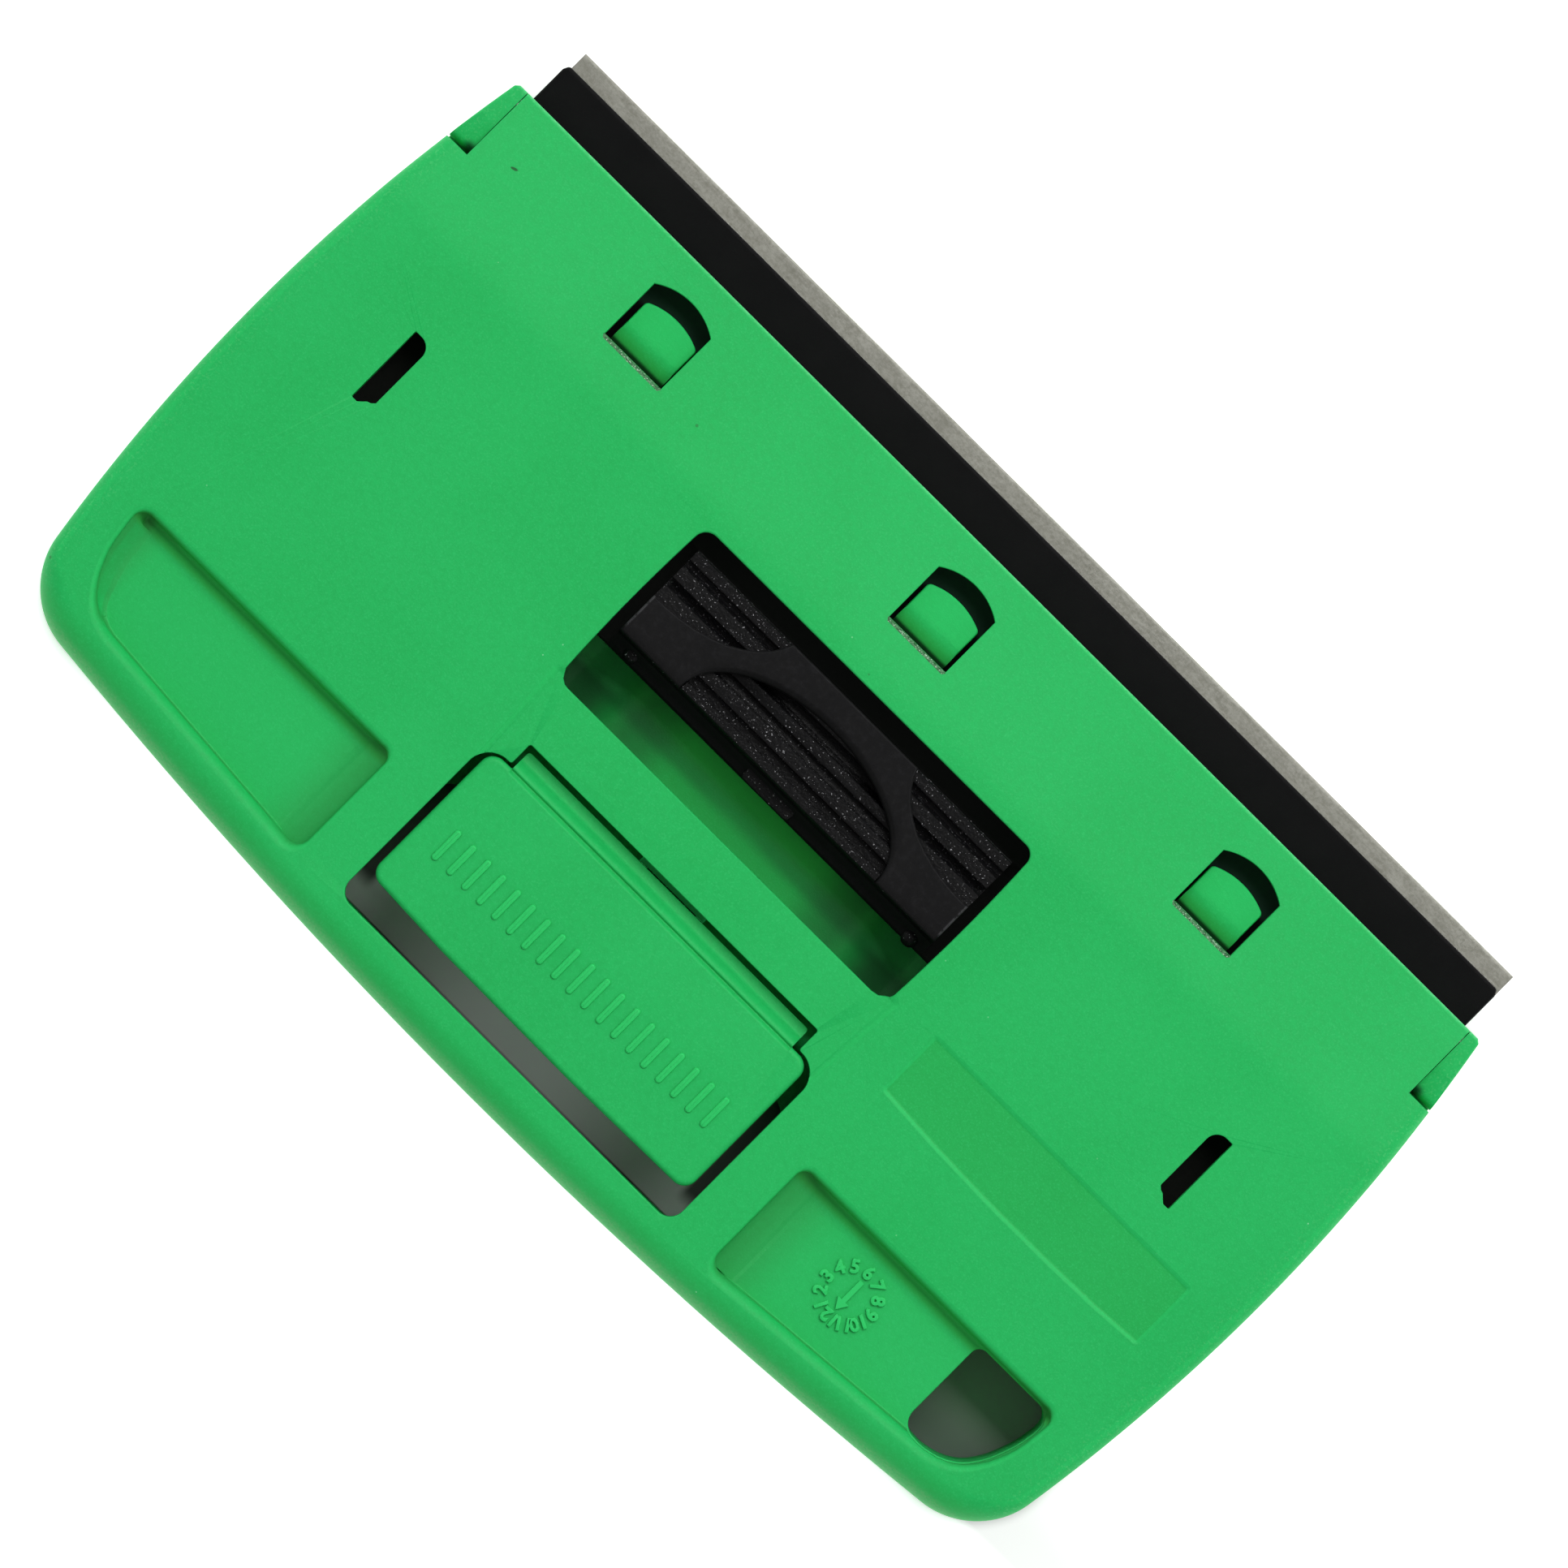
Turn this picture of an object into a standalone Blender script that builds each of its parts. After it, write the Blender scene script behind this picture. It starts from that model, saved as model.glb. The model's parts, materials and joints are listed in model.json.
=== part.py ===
"""Hand scraper with a sliding blade: two moulded half shells, a blade carrier
with a thumb pad, a wide blade, and a push flap that lets the upper shell swing
open on two pins at the front corners.

Frame: millimetres times MM, +Z up, +Y towards the cutting edge, +X to the right
seen from above. The origin is on the underside plane, in the middle.
"""

import math

import bmesh
import bpy
from mathutils import Matrix, Vector

MM = 0.001

# ---------------------------------------------------------------- dimensions
HALF_W = 54.05        # half of the widest place, at y = 0
SIDE_R = 150.0        # bow of the long sides
REAR_Y = -31.3        # middle of the rear edge
REAR_R = 450.0        # bow of the rear edge
CORNER_R = 6.7        # rear corners
FRONT_Y = 26.05       # front edge of both shells

SPLIT_LOW = 5.2       # top of the lower shell's wall
SPLIT_TOP = 5.5       # bottom of the upper shell's wall
TOP_Z = 11.0          # flat back of the upper shell
CREASE_Y = 13.64      # from here the back slopes down to the front
FRONT_TOP_Z = 9.7     # back of the shell at the front edge
FRONT_LOW_Z = 1.6     # underside at the front edge
CEILING_Z = 8.7       # inner face of the upper shell
LIP_CEILING_Z = 7.05  # inner face of the bar over the mouth
FLOOR_Z = 1.8         # inner face of the lower shell
MOUTH_FLOOR_Z = 3.7   # inner face of the lower shell at the mouth
WALL = 2.2            # side walls
LAND_X, LAND_Y0, LAND_Y1, LAND_Z = 14.8, -4.6, 6.5, 4.3

MOUTH_X = 50.5        # half width of the mouth that the carrier slides in
EAR_X = 50.9          # inner face of the two hinge ears
EAR_Y = 19.5          # rear end of the ears
COVER_X = 50.6        # half width of the upper shell between the ears
HINGE_Y, HINGE_Z = 24.8, 8.3
HINGE_PIN_R = 0.6
HINGE_HOLE_R = 0.7

BLADE_X = 50.05       # half of a 100 mm blade
BLADE_OFF = 0.2       # the blade lies a little to the right in its carrier
BLADE_Y0, BLADE_Y1 = 13.3, 31.4
BLADE_Z0, BLADE_Z1 = 4.0, 4.5
BLADE_HOLE_R = 1.8
PEG_R = 1.5
PEG_Y = 17.5
PEG_X = (-32.0, 0.0, 32.0)

CARRIER_X = 50.2
CARRIER_Y0, CARRIER_Y1 = 8.0, 29.8
CARRIER_Z0, CARRIER_Z1 = 4.8, 6.7
FINGER_X = 43.0       # sprung fingers that click over the ridges
FINGER_W = 2.6
FINGER_Y = -1.2
PAD_TAB_X = 18.6
PAD_TAB_Y = 0.5

PAD_X = 16.9
PAD_Y0, PAD_Y1 = 0.53, 10.6
PAD_Z0, PAD_TOP_Z, RIB_TOP_Z = 7.0, 10.9, 10.4
PAD_PEG_X, PAD_PEG_Y, PAD_PEG_R = 10.0, 5.6, 1.5

THUMB_X, THUMB_Y0, THUMB_Y1 = 17.75, -3.96, 12.22
THUMB_BOW = 0.3       # the window's sides bow outwards
STRIP_X, STRIP_Z = 18.0, 10.65   # lowered strip between the two windows
POCKET_Z, POCKET_BACK_Z = 9.2, 8.1
TONGUE_X = (-30.57, 0.0, 30.6)
TONGUE_SHIFT = (0.2, 0.0, -0.1)   # the tongues' middles against their windows
SLOT_X0, SLOT_X1, SLOT_Y0, SLOT_Y1 = 42.15, 43.87, 0.2, 7.15

# the flap sits a little to the left in its window
FLAP_X0, FLAP_X1, FLAP_Y0, FLAP_Y1 = -17.27, 16.87, -24.97, -11.3
FLAP_BAR_X0, FLAP_BAR_X1, FLAP_BAR_Y = -15.17, 14.85, -9.44
FLAP_WINDOW_X0, FLAP_WINDOW_X1 = -17.95, 17.78
FLAP_Z0, FLAP_Z1 = 9.0, 10.8
PIVOT_Y, PIVOT_Z = -10.0, 7.1
PIVOT_PIN_R = 0.6
PIVOT_HOLE_R = 0.7
BARREL_R = 1.2
PIVOT_RIB_X0, PIVOT_RIB_X1 = 16.0, 18.0
PIN_HALF = 18.3
SPRING_WIRE_R = 0.25
SPRING_R = 1.02

# ---------------------------------------------------------------- scene set-up
for old in list(bpy.data.objects):
    bpy.data.objects.remove(old, do_unlink=True)

PARTS = bpy.data.collections.new("hand_scraper")
CUTTERS = bpy.data.collections.new("cutters")
bpy.context.scene.collection.children.link(PARTS)
bpy.context.scene.collection.children.link(CUTTERS)


def material(name, colour, roughness, metallic=0.0):
    made = bpy.data.materials.new(name)
    made.use_nodes = True
    made.diffuse_color = (*colour, 1.0)
    shader = made.node_tree.nodes["Principled BSDF"]
    shader.inputs["Base Color"].default_value = (*colour, 1.0)
    shader.inputs["Roughness"].default_value = roughness
    shader.inputs["Metallic"].default_value = metallic
    return made


GREEN = material("green_plastic", (0.03, 0.47, 0.11), 0.45)
BLACK = material("black_plastic", (0.012, 0.012, 0.013), 0.5)
BLADE_STEEL = material("blade_steel", (0.45, 0.45, 0.43), 0.35, 1.0)
PIN_STEEL = material("pin_steel", (0.6, 0.6, 0.6), 0.25, 1.0)


# ---------------------------------------------------------------- shape helpers
def add_object(name, mesh, collection):
    made = bpy.data.objects.new(name, mesh)
    collection.objects.link(made)
    return made


def outline_mesh(name, outline, low, high):
    """A flat outline given thickness: a filled 2D curve, made a closed mesh. Sizes in mm."""
    curve = bpy.data.curves.new(name, "CURVE")
    curve.dimensions = "2D"
    curve.fill_mode = "BOTH"
    curve.extrude = (high - low) / 2 * MM
    spline = curve.splines.new("POLY")
    spline.points.add(len(outline) - 1)
    for point, (x, y) in zip(spline.points, outline):
        point.co = (x * MM, y * MM, 0.0, 1.0)
    spline.use_cyclic_u = True
    holder = add_object(name + "_curve", curve, CUTTERS)
    bpy.context.view_layer.update()
    graph = bpy.context.evaluated_depsgraph_get()
    mesh = bpy.data.meshes.new_from_object(holder.evaluated_get(graph))
    bpy.data.objects.remove(holder, do_unlink=True)
    bpy.data.curves.remove(curve)
    shape = bmesh.new()
    shape.from_mesh(mesh)
    bmesh.ops.remove_doubles(shape, verts=shape.verts, dist=1e-6)
    bmesh.ops.translate(shape, verts=shape.verts, vec=(0, 0, (low + high) / 2 * MM))
    bmesh.ops.dissolve_limit(shape, angle_limit=math.radians(0.5), verts=shape.verts, edges=shape.edges)
    bmesh.ops.recalc_face_normals(shape, faces=shape.faces)
    shape.to_mesh(mesh)
    shape.free()
    mesh.name = name
    return mesh


def round_rim(mesh, level, radius, segments=3):
    """Rounds the rim of a flat-ended mesh at the height level (mm)."""
    shape = bmesh.new()
    shape.from_mesh(mesh)
    rim = [
        edge
        for edge in shape.edges
        if all(abs(v.co.z - level * MM) < 1e-6 for v in edge.verts)
        and any(abs(face.normal.z) < 0.5 for face in edge.link_faces)
    ]
    bmesh.ops.bevel(
        shape, geom=rim, offset=radius * MM, offset_type="OFFSET", segments=segments,
        profile=0.5, affect="EDGES", clamp_overlap=True,
    )
    shape.to_mesh(mesh)
    shape.free()
    return mesh


def slab(name, outline, low, high, top_r=0.0, low_r=0.0, collection=None):
    mesh = outline_mesh(name, outline, low, high)
    if top_r:
        round_rim(mesh, high, top_r)
    if low_r:
        round_rim(mesh, low, low_r)
    return add_object(name, mesh, collection or CUTTERS)


def along_x(name, profile, x0, x1, collection=None):
    """A profile in the YZ plane, drawn from x0 to x1 (mm)."""
    mesh = outline_mesh(name, profile, x0, x1)
    # local x, y, z become world y, z, x
    mesh.transform(Matrix(((0, 0, 1, 0), (1, 0, 0, 0), (0, 1, 0, 0), (0, 0, 0, 1))))
    return add_object(name, mesh, collection or CUTTERS)


def box(name, x0, x1, y0, y1, z0, z1, collection=None):
    shape = bmesh.new()
    bmesh.ops.create_cube(shape, size=1.0)
    bmesh.ops.scale(shape, vec=((x1 - x0) * MM, (y1 - y0) * MM, (z1 - z0) * MM), verts=shape.verts)
    bmesh.ops.translate(
        shape, vec=((x0 + x1) / 2 * MM, (y0 + y1) / 2 * MM, (z0 + z1) / 2 * MM), verts=shape.verts
    )
    mesh = bpy.data.meshes.new(name)
    shape.to_mesh(mesh)
    shape.free()
    return add_object(name, mesh, collection or CUTTERS)


def rod(name, radius, start, end, sides=16, collection=None):
    """A round bar between two points (mm)."""
    a, b = Vector(start) * MM, Vector(end) * MM
    shape = bmesh.new()
    bmesh.ops.create_cone(
        shape, cap_ends=True, cap_tris=False, segments=sides, radius1=radius * MM,
        radius2=radius * MM, depth=(b - a).length,
    )
    turn = Vector((0, 0, 1)).rotation_difference(b - a).to_matrix().to_4x4()
    bmesh.ops.transform(shape, matrix=Matrix.Translation((a + b) / 2) @ turn, verts=shape.verts)
    mesh = bpy.data.meshes.new(name)
    shape.to_mesh(mesh)
    shape.free()
    return add_object(name, mesh, collection or CUTTERS)


def combine(target, other, operation):
    """Cuts or joins other with target, keeping other as a hidden helper."""
    modifier = target.modifiers.new(operation.lower() + "_" + other.name, "BOOLEAN")
    modifier.operation = operation
    modifier.object = other
    modifier.solver = "EXACT"
    other.hide_render = True
    other.display_type = "WIRE"


def cut(target, *others):
    for other in others:
        combine(target, other, "DIFFERENCE")


def join(target, *others):
    for other in others:
        combine(target, other, "UNION")


def finish_part(part, look, pivot=None, smooth=30.0):
    """Gives a part its material, moves its origin onto its joint's axis, and shades it."""
    part.data.materials.clear()
    part.data.materials.append(look)
    if pivot is not None:
        move = Vector(pivot) * MM
        part.data.transform(Matrix.Translation(-move))
        part.location = move
    part.data.shade_smooth()
    part.data.set_sharp_from_angle(angle=math.radians(smooth))


def rounded(corners, arc_deg=22.5):
    """A closed outline from (x, y, radius) corners, each corner replaced by an arc."""
    points = []
    count = len(corners)
    for i, (x, y, radius) in enumerate(corners):
        here = Vector((x, y))
        before = Vector(corners[i - 1][:2]) - here
        after = Vector(corners[(i + 1) % count][:2]) - here
        if radius <= 0:
            points.append((x, y))
            continue
        before.normalize()
        after.normalize()
        half = before.angle(after) / 2
        reach = radius / math.tan(half)
        centre = here + (before + after).normalized() * (radius / math.sin(half))
        first = here + before * reach - centre
        last = here + after * reach - centre
        sweep = math.atan2(first.x * last.y - first.y * last.x, first.dot(last))
        steps = max(2, round(abs(math.degrees(sweep)) / arc_deg))
        for k in range(steps + 1):
            turn = sweep * k / steps
            c, s = math.cos(turn), math.sin(turn)
            points.append((centre.x + first.x * c - first.y * s, centre.y + first.x * s + first.y * c))
    return points


def mirrored(outline):
    return [(-x, y) for x, y in reversed(outline)]


def side_x(y, inset=0.0):
    return HALF_W - SIDE_R + math.sqrt((SIDE_R - inset) ** 2 - y * y)


def corner_centre():
    """Centre of the rear corner's arc, tangent to the side's and the rear's bows."""
    low, high = -30.0, -10.0
    for _ in range(60):
        y = (low + high) / 2
        x = HALF_W - SIDE_R + math.sqrt((SIDE_R - CORNER_R) ** 2 - y * y)
        if math.hypot(x, y - REAR_Y - REAR_R) > REAR_R - CORNER_R:
            low = y
        else:
            high = y
    return x, y


def body_outline(inset=0.0, front=FRONT_Y, chamfer=0.5):
    """The shells' outline from above, moved inwards by inset."""
    cx, cy = corner_centre()
    radius = CORNER_R - inset
    to_side = math.atan2(cy, cx - (HALF_W - SIDE_R))
    to_rear = math.atan2(cy - REAR_Y - REAR_R, cx)
    half = []
    if chamfer:
        half.append((side_x(front, inset) - chamfer, front))
    side_low = cy + radius * math.sin(to_side)
    start = front - chamfer
    for k in range(8):
        y = start + (side_low - start) * k / 8
        half.append((side_x(y, inset), y))
    for k in range(8):
        turn = to_side + (to_rear - to_side) * k / 7
        half.append((cx + radius * math.cos(turn), cy + radius * math.sin(turn)))
    end_turn = -math.pi / 2
    for k in range(1, 5):
        turn = to_rear + (end_turn - to_rear) * k / 5
        half.append(
            ((REAR_R - inset) * math.cos(turn), REAR_Y + REAR_R + (REAR_R - inset) * math.sin(turn))
        )
    # right half runs front to rear; the left half closes the loop
    return half + [(0.0, REAR_Y + inset)] + mirrored(half)


def arc_front(x, y_rear, shoulder, apex, half_x):
    """A D outline: straight rear and sides, bowed front."""
    rise = apex - shoulder
    radius = (half_x**2 + rise**2) / (2 * rise)
    top = apex - radius
    span = math.asin(half_x / radius)
    points = [(x - half_x, y_rear), (x + half_x, y_rear)]
    for k in range(9):
        turn = span - 2 * span * k / 8
        points.append((x + radius * math.sin(turn), top + radius * math.cos(turn)))
    return points


HANG_HOLE = [
    (41.0, -17.3, 0.8), (48.55, -17.3, 1.3), (48.7, -18.9, 0.0), (48.4, -20.7, 0.0),
    (47.6, -22.9, 0.0), (46.4, -24.7, 0.0), (44.8, -25.55, 0.0), (43.3, -25.85, 0.0),
    (41.0, -25.75, 1.4),
]
HANG_WALL = [
    (39.7, -16.0, 1.6), (49.9, -16.0, 2.2), (50.0, -19.0, 0.0), (49.6, -21.3, 0.0),
    (48.7, -23.7, 0.0), (47.1, -25.9, 0.0), (45.0, -26.9, 0.0), (43.3, -27.2, 0.0),
    (39.7, -27.0, 2.6),
]
LEFT_POCKET = [
    (-49.2, -17.0, 0.5), (-49.15, -17.9, 0.0), (-48.75, -21.0, 0.0), (-47.7, -23.3, 0.0),
    (-46.4, -24.8, 0.0), (-44.7, -25.5, 0.0), (-23.2, -27.15, 0.8), (-22.35, -26.3, 0.0),
    (-22.35, -17.0, 0.5),
]
RIGHT_POCKET = [
    (21.95, -17.05, 0.5), (21.95, -26.5, 0.0), (22.8, -27.35, 0.8), (44.4, -25.6, 0.0),
    (46.4, -24.8, 0.0), (47.7, -23.1, 0.0), (48.6, -21.0, 0.0), (48.95, -17.9, 0.0),
    (48.95, -17.05, 0.5),
]

# ---------------------------------------------------------------- lower shell
bottom = slab("bottom_shell", body_outline(), 0.0, SPLIT_LOW, low_r=1.0, collection=PARTS)

ears = slab("ear_block", body_outline(), 2.0, FRONT_TOP_Z)
combine(ears, box("ear_zone_right", EAR_X, 60, EAR_Y, 30, 1.0, 12), "INTERSECT")
ears_left = slab("ear_block_left", body_outline(), 2.0, FRONT_TOP_Z)
combine(ears_left, box("ear_zone_left", -60, -EAR_X, EAR_Y, 30, 1.0, 12), "INTERSECT")
ear_curve = [(EAR_Y - 1, 12.0), (EAR_Y - 1, 4.6)]
for k in range(7):
    turn = math.radians(180 - 90 * k / 6)
    ear_curve.append((22.75 + 3.25 * math.cos(turn), 5.2 + (FRONT_TOP_Z - 5.2) * math.sin(turn)))
ear_curve.append((22.75, 12.0))
for ear, name in ((ears, "ear_back_right"), (ears_left, "ear_back_left")):
    cut(ear, along_x(name, ear_curve, -60, 60))
    cut(ear, rod("hole_" + name, HINGE_HOLE_R, (-60, HINGE_Y, HINGE_Z), (60, HINGE_Y, HINGE_Z)))

hollow = slab("lower_hollow", body_outline(inset=WALL, front=19.0, chamfer=0), FLOOR_Z, 8.0)
mouth = box("lower_mouth", -MOUTH_X, MOUTH_X, 15.0, 30.0, MOUTH_FLOOR_Z, 8.0)
cut(bottom, hollow, mouth)
cut(
    bottom,
    along_x(
        "under_slope",
        [(CREASE_Y, 0.0), (CREASE_Y, -2.0), (27.0, -2.0),
         (27.0, FRONT_LOW_Z * (27.0 - CREASE_Y) / (FRONT_Y - CREASE_Y))],
        -60, 60,
    ),
)
join(bottom, ears, ears_left)

# rim inside the joint line, rails for the carrier, and ridges for its fingers
rim = slab("lower_rim", body_outline(inset=2.5, front=19.0, chamfer=0), 1.0, 6.3)
cut(rim, slab("rim_inside", body_outline(inset=3.4, front=19.0, chamfer=0), 0.0, 7.0))
cut(rim, box("rim_front", -60, 60, -8.0, 30, 0.0, 7.5))
cut(rim, box("rim_gap_at_hang_wall", 39.2, 54, -32, -15.5, SPLIT_LOW, 7.5))
rim_link = slab("rim_link", body_outline(inset=2.0, front=19.0, chamfer=0), 1.0, 5.0)
cut(rim_link, slab("rim_link_inside", body_outline(inset=3.4, front=19.0, chamfer=0), 0.0, 7.0))
cut(rim_link, box("rim_link_front", -60, 60, -8.0, 30, 0.0, 7.5))
join(bottom, rim_link, rim)
for x in (-46.5, -25.0, 25.0, 46.5):
    join(bottom, box(f"rail_{x:+.0f}", x - 0.7, x + 0.7, 7.3, 19.5, 1.2, MOUTH_FLOOR_Z))
for x in (-21.0, 21.0):
    join(bottom, box(f"rear_rail_{x:+.0f}", x - 0.7, x + 0.7, -6.0, 6.9, 1.2, 4.5))
# raised land under the thumb pad
land = [(-LAND_X, LAND_Y0, 0.8), (LAND_X, LAND_Y0, 0.8), (LAND_X, LAND_Y1, 0.8), (-LAND_X, LAND_Y1, 0.8)]
join(bottom, slab("land", rounded(land), 1.2, LAND_Z))
for side in (-1, 1):
    for n, y in enumerate((-2.0, -4.7)):
        xs = sorted((side * 41.4, side * 44.6))
        join(
            bottom,
            along_x(f"ridge_{side:+d}_{n}", [(y - 0.2, 1.2), (y + 1.0, 1.2), (y + 0.6, 3.7), (y + 0.2, 3.7)], *xs),
        )
# catches for the flap's hooks
for side in (-1, 1):
    xs = sorted((side * 6.5, side * 12.5))
    join(
        bottom,
        along_x(
            f"catch_{side:+d}",
            [(-14.6, 1.2), (-13.2, 1.2), (-13.2, 3.8), (-11.8, 3.8), (-11.8, 4.4), (-12.4, 5.0), (-14.6, 5.0)],
            *xs,
        ),
    )
# wall round the hanging hole, then the hole and the opening under the flap's rear
join(bottom, slab("hang_wall_low", rounded(HANG_WALL), 1.0, SPLIT_LOW))
cut(bottom, slab("hang_hole_low", rounded(HANG_HOLE), -1.0, 8.0))
cut(
    bottom,
    slab(
        "rear_opening",
        rounded([
            (-18.3, -27.35, 1.3), (0.0, -27.75, 0.0), (18.3, -27.35, 1.3), (18.3, -15.1, 1.5),
            (-18.3, -15.1, 1.5),
        ]),
        -1.0, 3.0,
    ),
)
finish_part(bottom, GREEN)

# ---------------------------------------------------------------- upper shell
top = slab("top_shell", body_outline(), SPLIT_TOP, TOP_Z, top_r=1.2, collection=PARTS)
cut(
    top,
    along_x(
        "top_slope",
        [(CREASE_Y, TOP_Z), (27.0, TOP_Z - (TOP_Z - FRONT_TOP_Z) * (27.0 - CREASE_Y) / (FRONT_Y - CREASE_Y)),
         (27.0, 13.0), (CREASE_Y, 13.0)],
        -60, 60,
    ),
)
cut(top, slab("upper_hollow", body_outline(inset=WALL, front=20.0, chamfer=0), 4.0, CEILING_Z))
cut(top, box("upper_mouth", -COVER_X - 5, COVER_X + 5, 19.2, 23.9, 4.0, CEILING_Z))
cut(
    top,
    along_x(
        "lip_under",
        [(23.0, 4.0), (30.0, 4.0), (30.0, 7.6 + (30.0 - 26.05) * 0.6), (26.05, 7.6), (25.5, LIP_CEILING_Z), (23.0, LIP_CEILING_Z)],
        -60, 60,
    ),
)
for side in (-1, 1):
    xs = sorted((side * COVER_X, side * 60))
    cut(top, box(f"ear_notch_{side:+d}", *xs, EAR_Y - 0.3, 30, 4.0, 13.0))
thumb_side = []
for k in range(1, 6):
    share = k / 6
    thumb_side.append(
        (THUMB_X + THUMB_BOW * (1 - (2 * share - 1) ** 2), THUMB_Y0 + (THUMB_Y1 - THUMB_Y0) * share, 0.0)
    )
thumb_corners = [(THUMB_X, THUMB_Y0, 0.9)] + thumb_side + [(THUMB_X, THUMB_Y1, 0.9)]
thumb_corners += [(-x, y, r) for x, y, r in reversed(thumb_corners)]
cut(top, box("strip_recess", -STRIP_X, STRIP_X, -12.0, -3.0, STRIP_Z, 13.0))
cut(top, slab("thumb_window", rounded(thumb_corners), 4.0, 13.0))
cut(
    top,
    slab(
        "flap_window",
        rounded([
            (-15.52, -8.97, 0), (-15.52, -11.05, 0), (FLAP_WINDOW_X0, -11.05, 2.1), (FLAP_WINDOW_X0, -27.32, 1.3),
            (FLAP_WINDOW_X1, -27.32, 1.3), (FLAP_WINDOW_X1, -11.05, 2.1), (15.4, -11.05, 0), (15.4, -8.97, 0),
        ]),
        4.0, 13.0,
    ),
)
for n, x in enumerate(TONGUE_X):
    cut(top, slab(f"tongue_window_{n}", arc_front(x, 16.77, 22.62, 23.58, 3.05), 4.0, 13.0))
for side in (-1, 1):
    slot = rounded([
        (SLOT_X1, SLOT_Y0, 0), (SLOT_X1, SLOT_Y1, 0), (SLOT_X0, SLOT_Y1, 1.05),
        (SLOT_X0, SLOT_Y0 + 1.0, 0), (SLOT_X0 + 1.1, SLOT_Y0, 0),
    ])
    cut(top, slab(f"side_slot_{side:+d}", slot if side > 0 else mirrored(slot), 4.0, 13.0))
for side in (-1, 1):
    xs = sorted((side * 21.0, side * 53.0))
    back = slab(f"pocket_back_{side:+d}", body_outline(inset=1.0), POCKET_BACK_Z, 9.6)
    combine(back, box(f"pocket_back_zone_{side:+d}", *xs, -28.6, -15.8, 7.0, 10.0), "INTERSECT")
    join(top, back)
cut(top, slab("pocket_left", rounded(LEFT_POCKET), POCKET_Z, 13.0))
cut(top, slab("pocket_right", rounded(RIGHT_POCKET), POCKET_Z, 13.0))

# tongues that press on the carrier, each on a block under the plate
for n, x in enumerate(TONGUE_X):
    tongue = slab(f"tongue_{n}", arc_front(x + TONGUE_SHIFT[n], 14.5, 21.15, 21.78, 2.68), 7.1, 8.9)
    block = box(f"tongue_block_{n}", x - 3.6, x + 3.6, 14.0, 17.2, 7.1, 9.2)
    join(top, block, tongue)
# ribs that keep the carrier down, bearing ribs for the flap's pin
for x in (-46.5, -25.0, 25.0, 46.5):
    join(top, box(f"top_rail_{x:+.0f}", x - 0.6, x + 0.6, 8.5, 13.5, LIP_CEILING_Z, 9.2))
for side in (-1, 1):
    xs = sorted((side * PIVOT_RIB_X0, side * PIVOT_RIB_X1))
    join(
        top,
        along_x(
            f"pivot_rib_{side:+d}",
            [(-7.6, 9.3), (-10.9, 9.3), (-11.6, 7.6), (-11.2, 6.3), (-10.4, 5.8), (-9.6, 5.8), (-8.8, 6.3), (-7.6, 8.0)],
            *xs,
        ),
    )
cut(top, rod("pivot_hole", PIVOT_HOLE_R, (-19.5, PIVOT_Y, PIVOT_Z), (19.5, PIVOT_Y, PIVOT_Z)))
join(top, slab("hang_wall_top", rounded(HANG_WALL), SPLIT_TOP, 9.2))
cut(top, slab("hang_hole_top", rounded(HANG_HOLE), 4.0, 13.0))
for side in (-1, 1):
    cut(
        top,
        rod(
            f"cover_hinge_hole_{side:+d}", HINGE_HOLE_R,
            (side * 47.5, HINGE_Y, HINGE_Z), (side * 55, HINGE_Y, HINGE_Z),
        ),
    )
finish_part(top, GREEN, pivot=(0, HINGE_Y, HINGE_Z))

# ---------------------------------------------------------------- hinge pins
for side, name in ((-1, "hinge_pin_left"), (1, "hinge_pin_right")):
    pin = rod(
        name, HINGE_PIN_R, (side * 47.9, HINGE_Y, HINGE_Z), (side * 51.8, HINGE_Y, HINGE_Z),
        collection=PARTS,
    )
    finish_part(pin, PIN_STEEL, pivot=(side * 49.5, HINGE_Y, HINGE_Z))

# ---------------------------------------------------------------- blade carrier
carrier_outline = []
for x, y, r in (
    (PAD_TAB_X, PAD_TAB_Y, 0.8), (PAD_TAB_X, CARRIER_Y0, 0.5),
    (FINGER_X - FINGER_W / 2, CARRIER_Y0, 0.4), (FINGER_X - FINGER_W / 2, FINGER_Y, 0.5),
    (FINGER_X + FINGER_W / 2, FINGER_Y, 0.5), (FINGER_X + FINGER_W / 2, CARRIER_Y0, 0.4),
    (CARRIER_X, CARRIER_Y0, 0.8), (CARRIER_X, 28.9, 0.0), (49.7, CARRIER_Y1, 0.0),
):
    carrier_outline.append((x, y, r))
carrier_outline = rounded(carrier_outline + [(-x, y, r) for x, y, r in reversed(carrier_outline)])
carrier = slab("blade_carrier", carrier_outline, CARRIER_Z0, CARRIER_Z1, top_r=0.25, collection=PARTS)
for n, x in enumerate(PEG_X):
    join(carrier, rod(f"blade_peg_{n}", PEG_R, (x, PEG_Y, 3.95), (x, PEG_Y, 5.5)))
for side in (-1, 1):
    cut(
        carrier,
        rod(f"pad_peg_hole_{side:+d}", PAD_PEG_R + 0.3, (side * PAD_PEG_X, PAD_PEG_Y, 4.0), (side * PAD_PEG_X, PAD_PEG_Y, 8.0)),
    )
    xs = sorted((side * (FINGER_X - 1.1), side * (FINGER_X + 1.1)))
    join(
        carrier,
        along_x(f"finger_nub_{side:+d}", [(-0.9, 5.2), (0.5, 5.2), (0.1, 4.0), (-0.5, 4.0)], *xs),
    )
finish_part(carrier, BLACK, pivot=(0, 18, 5.7))

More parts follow.
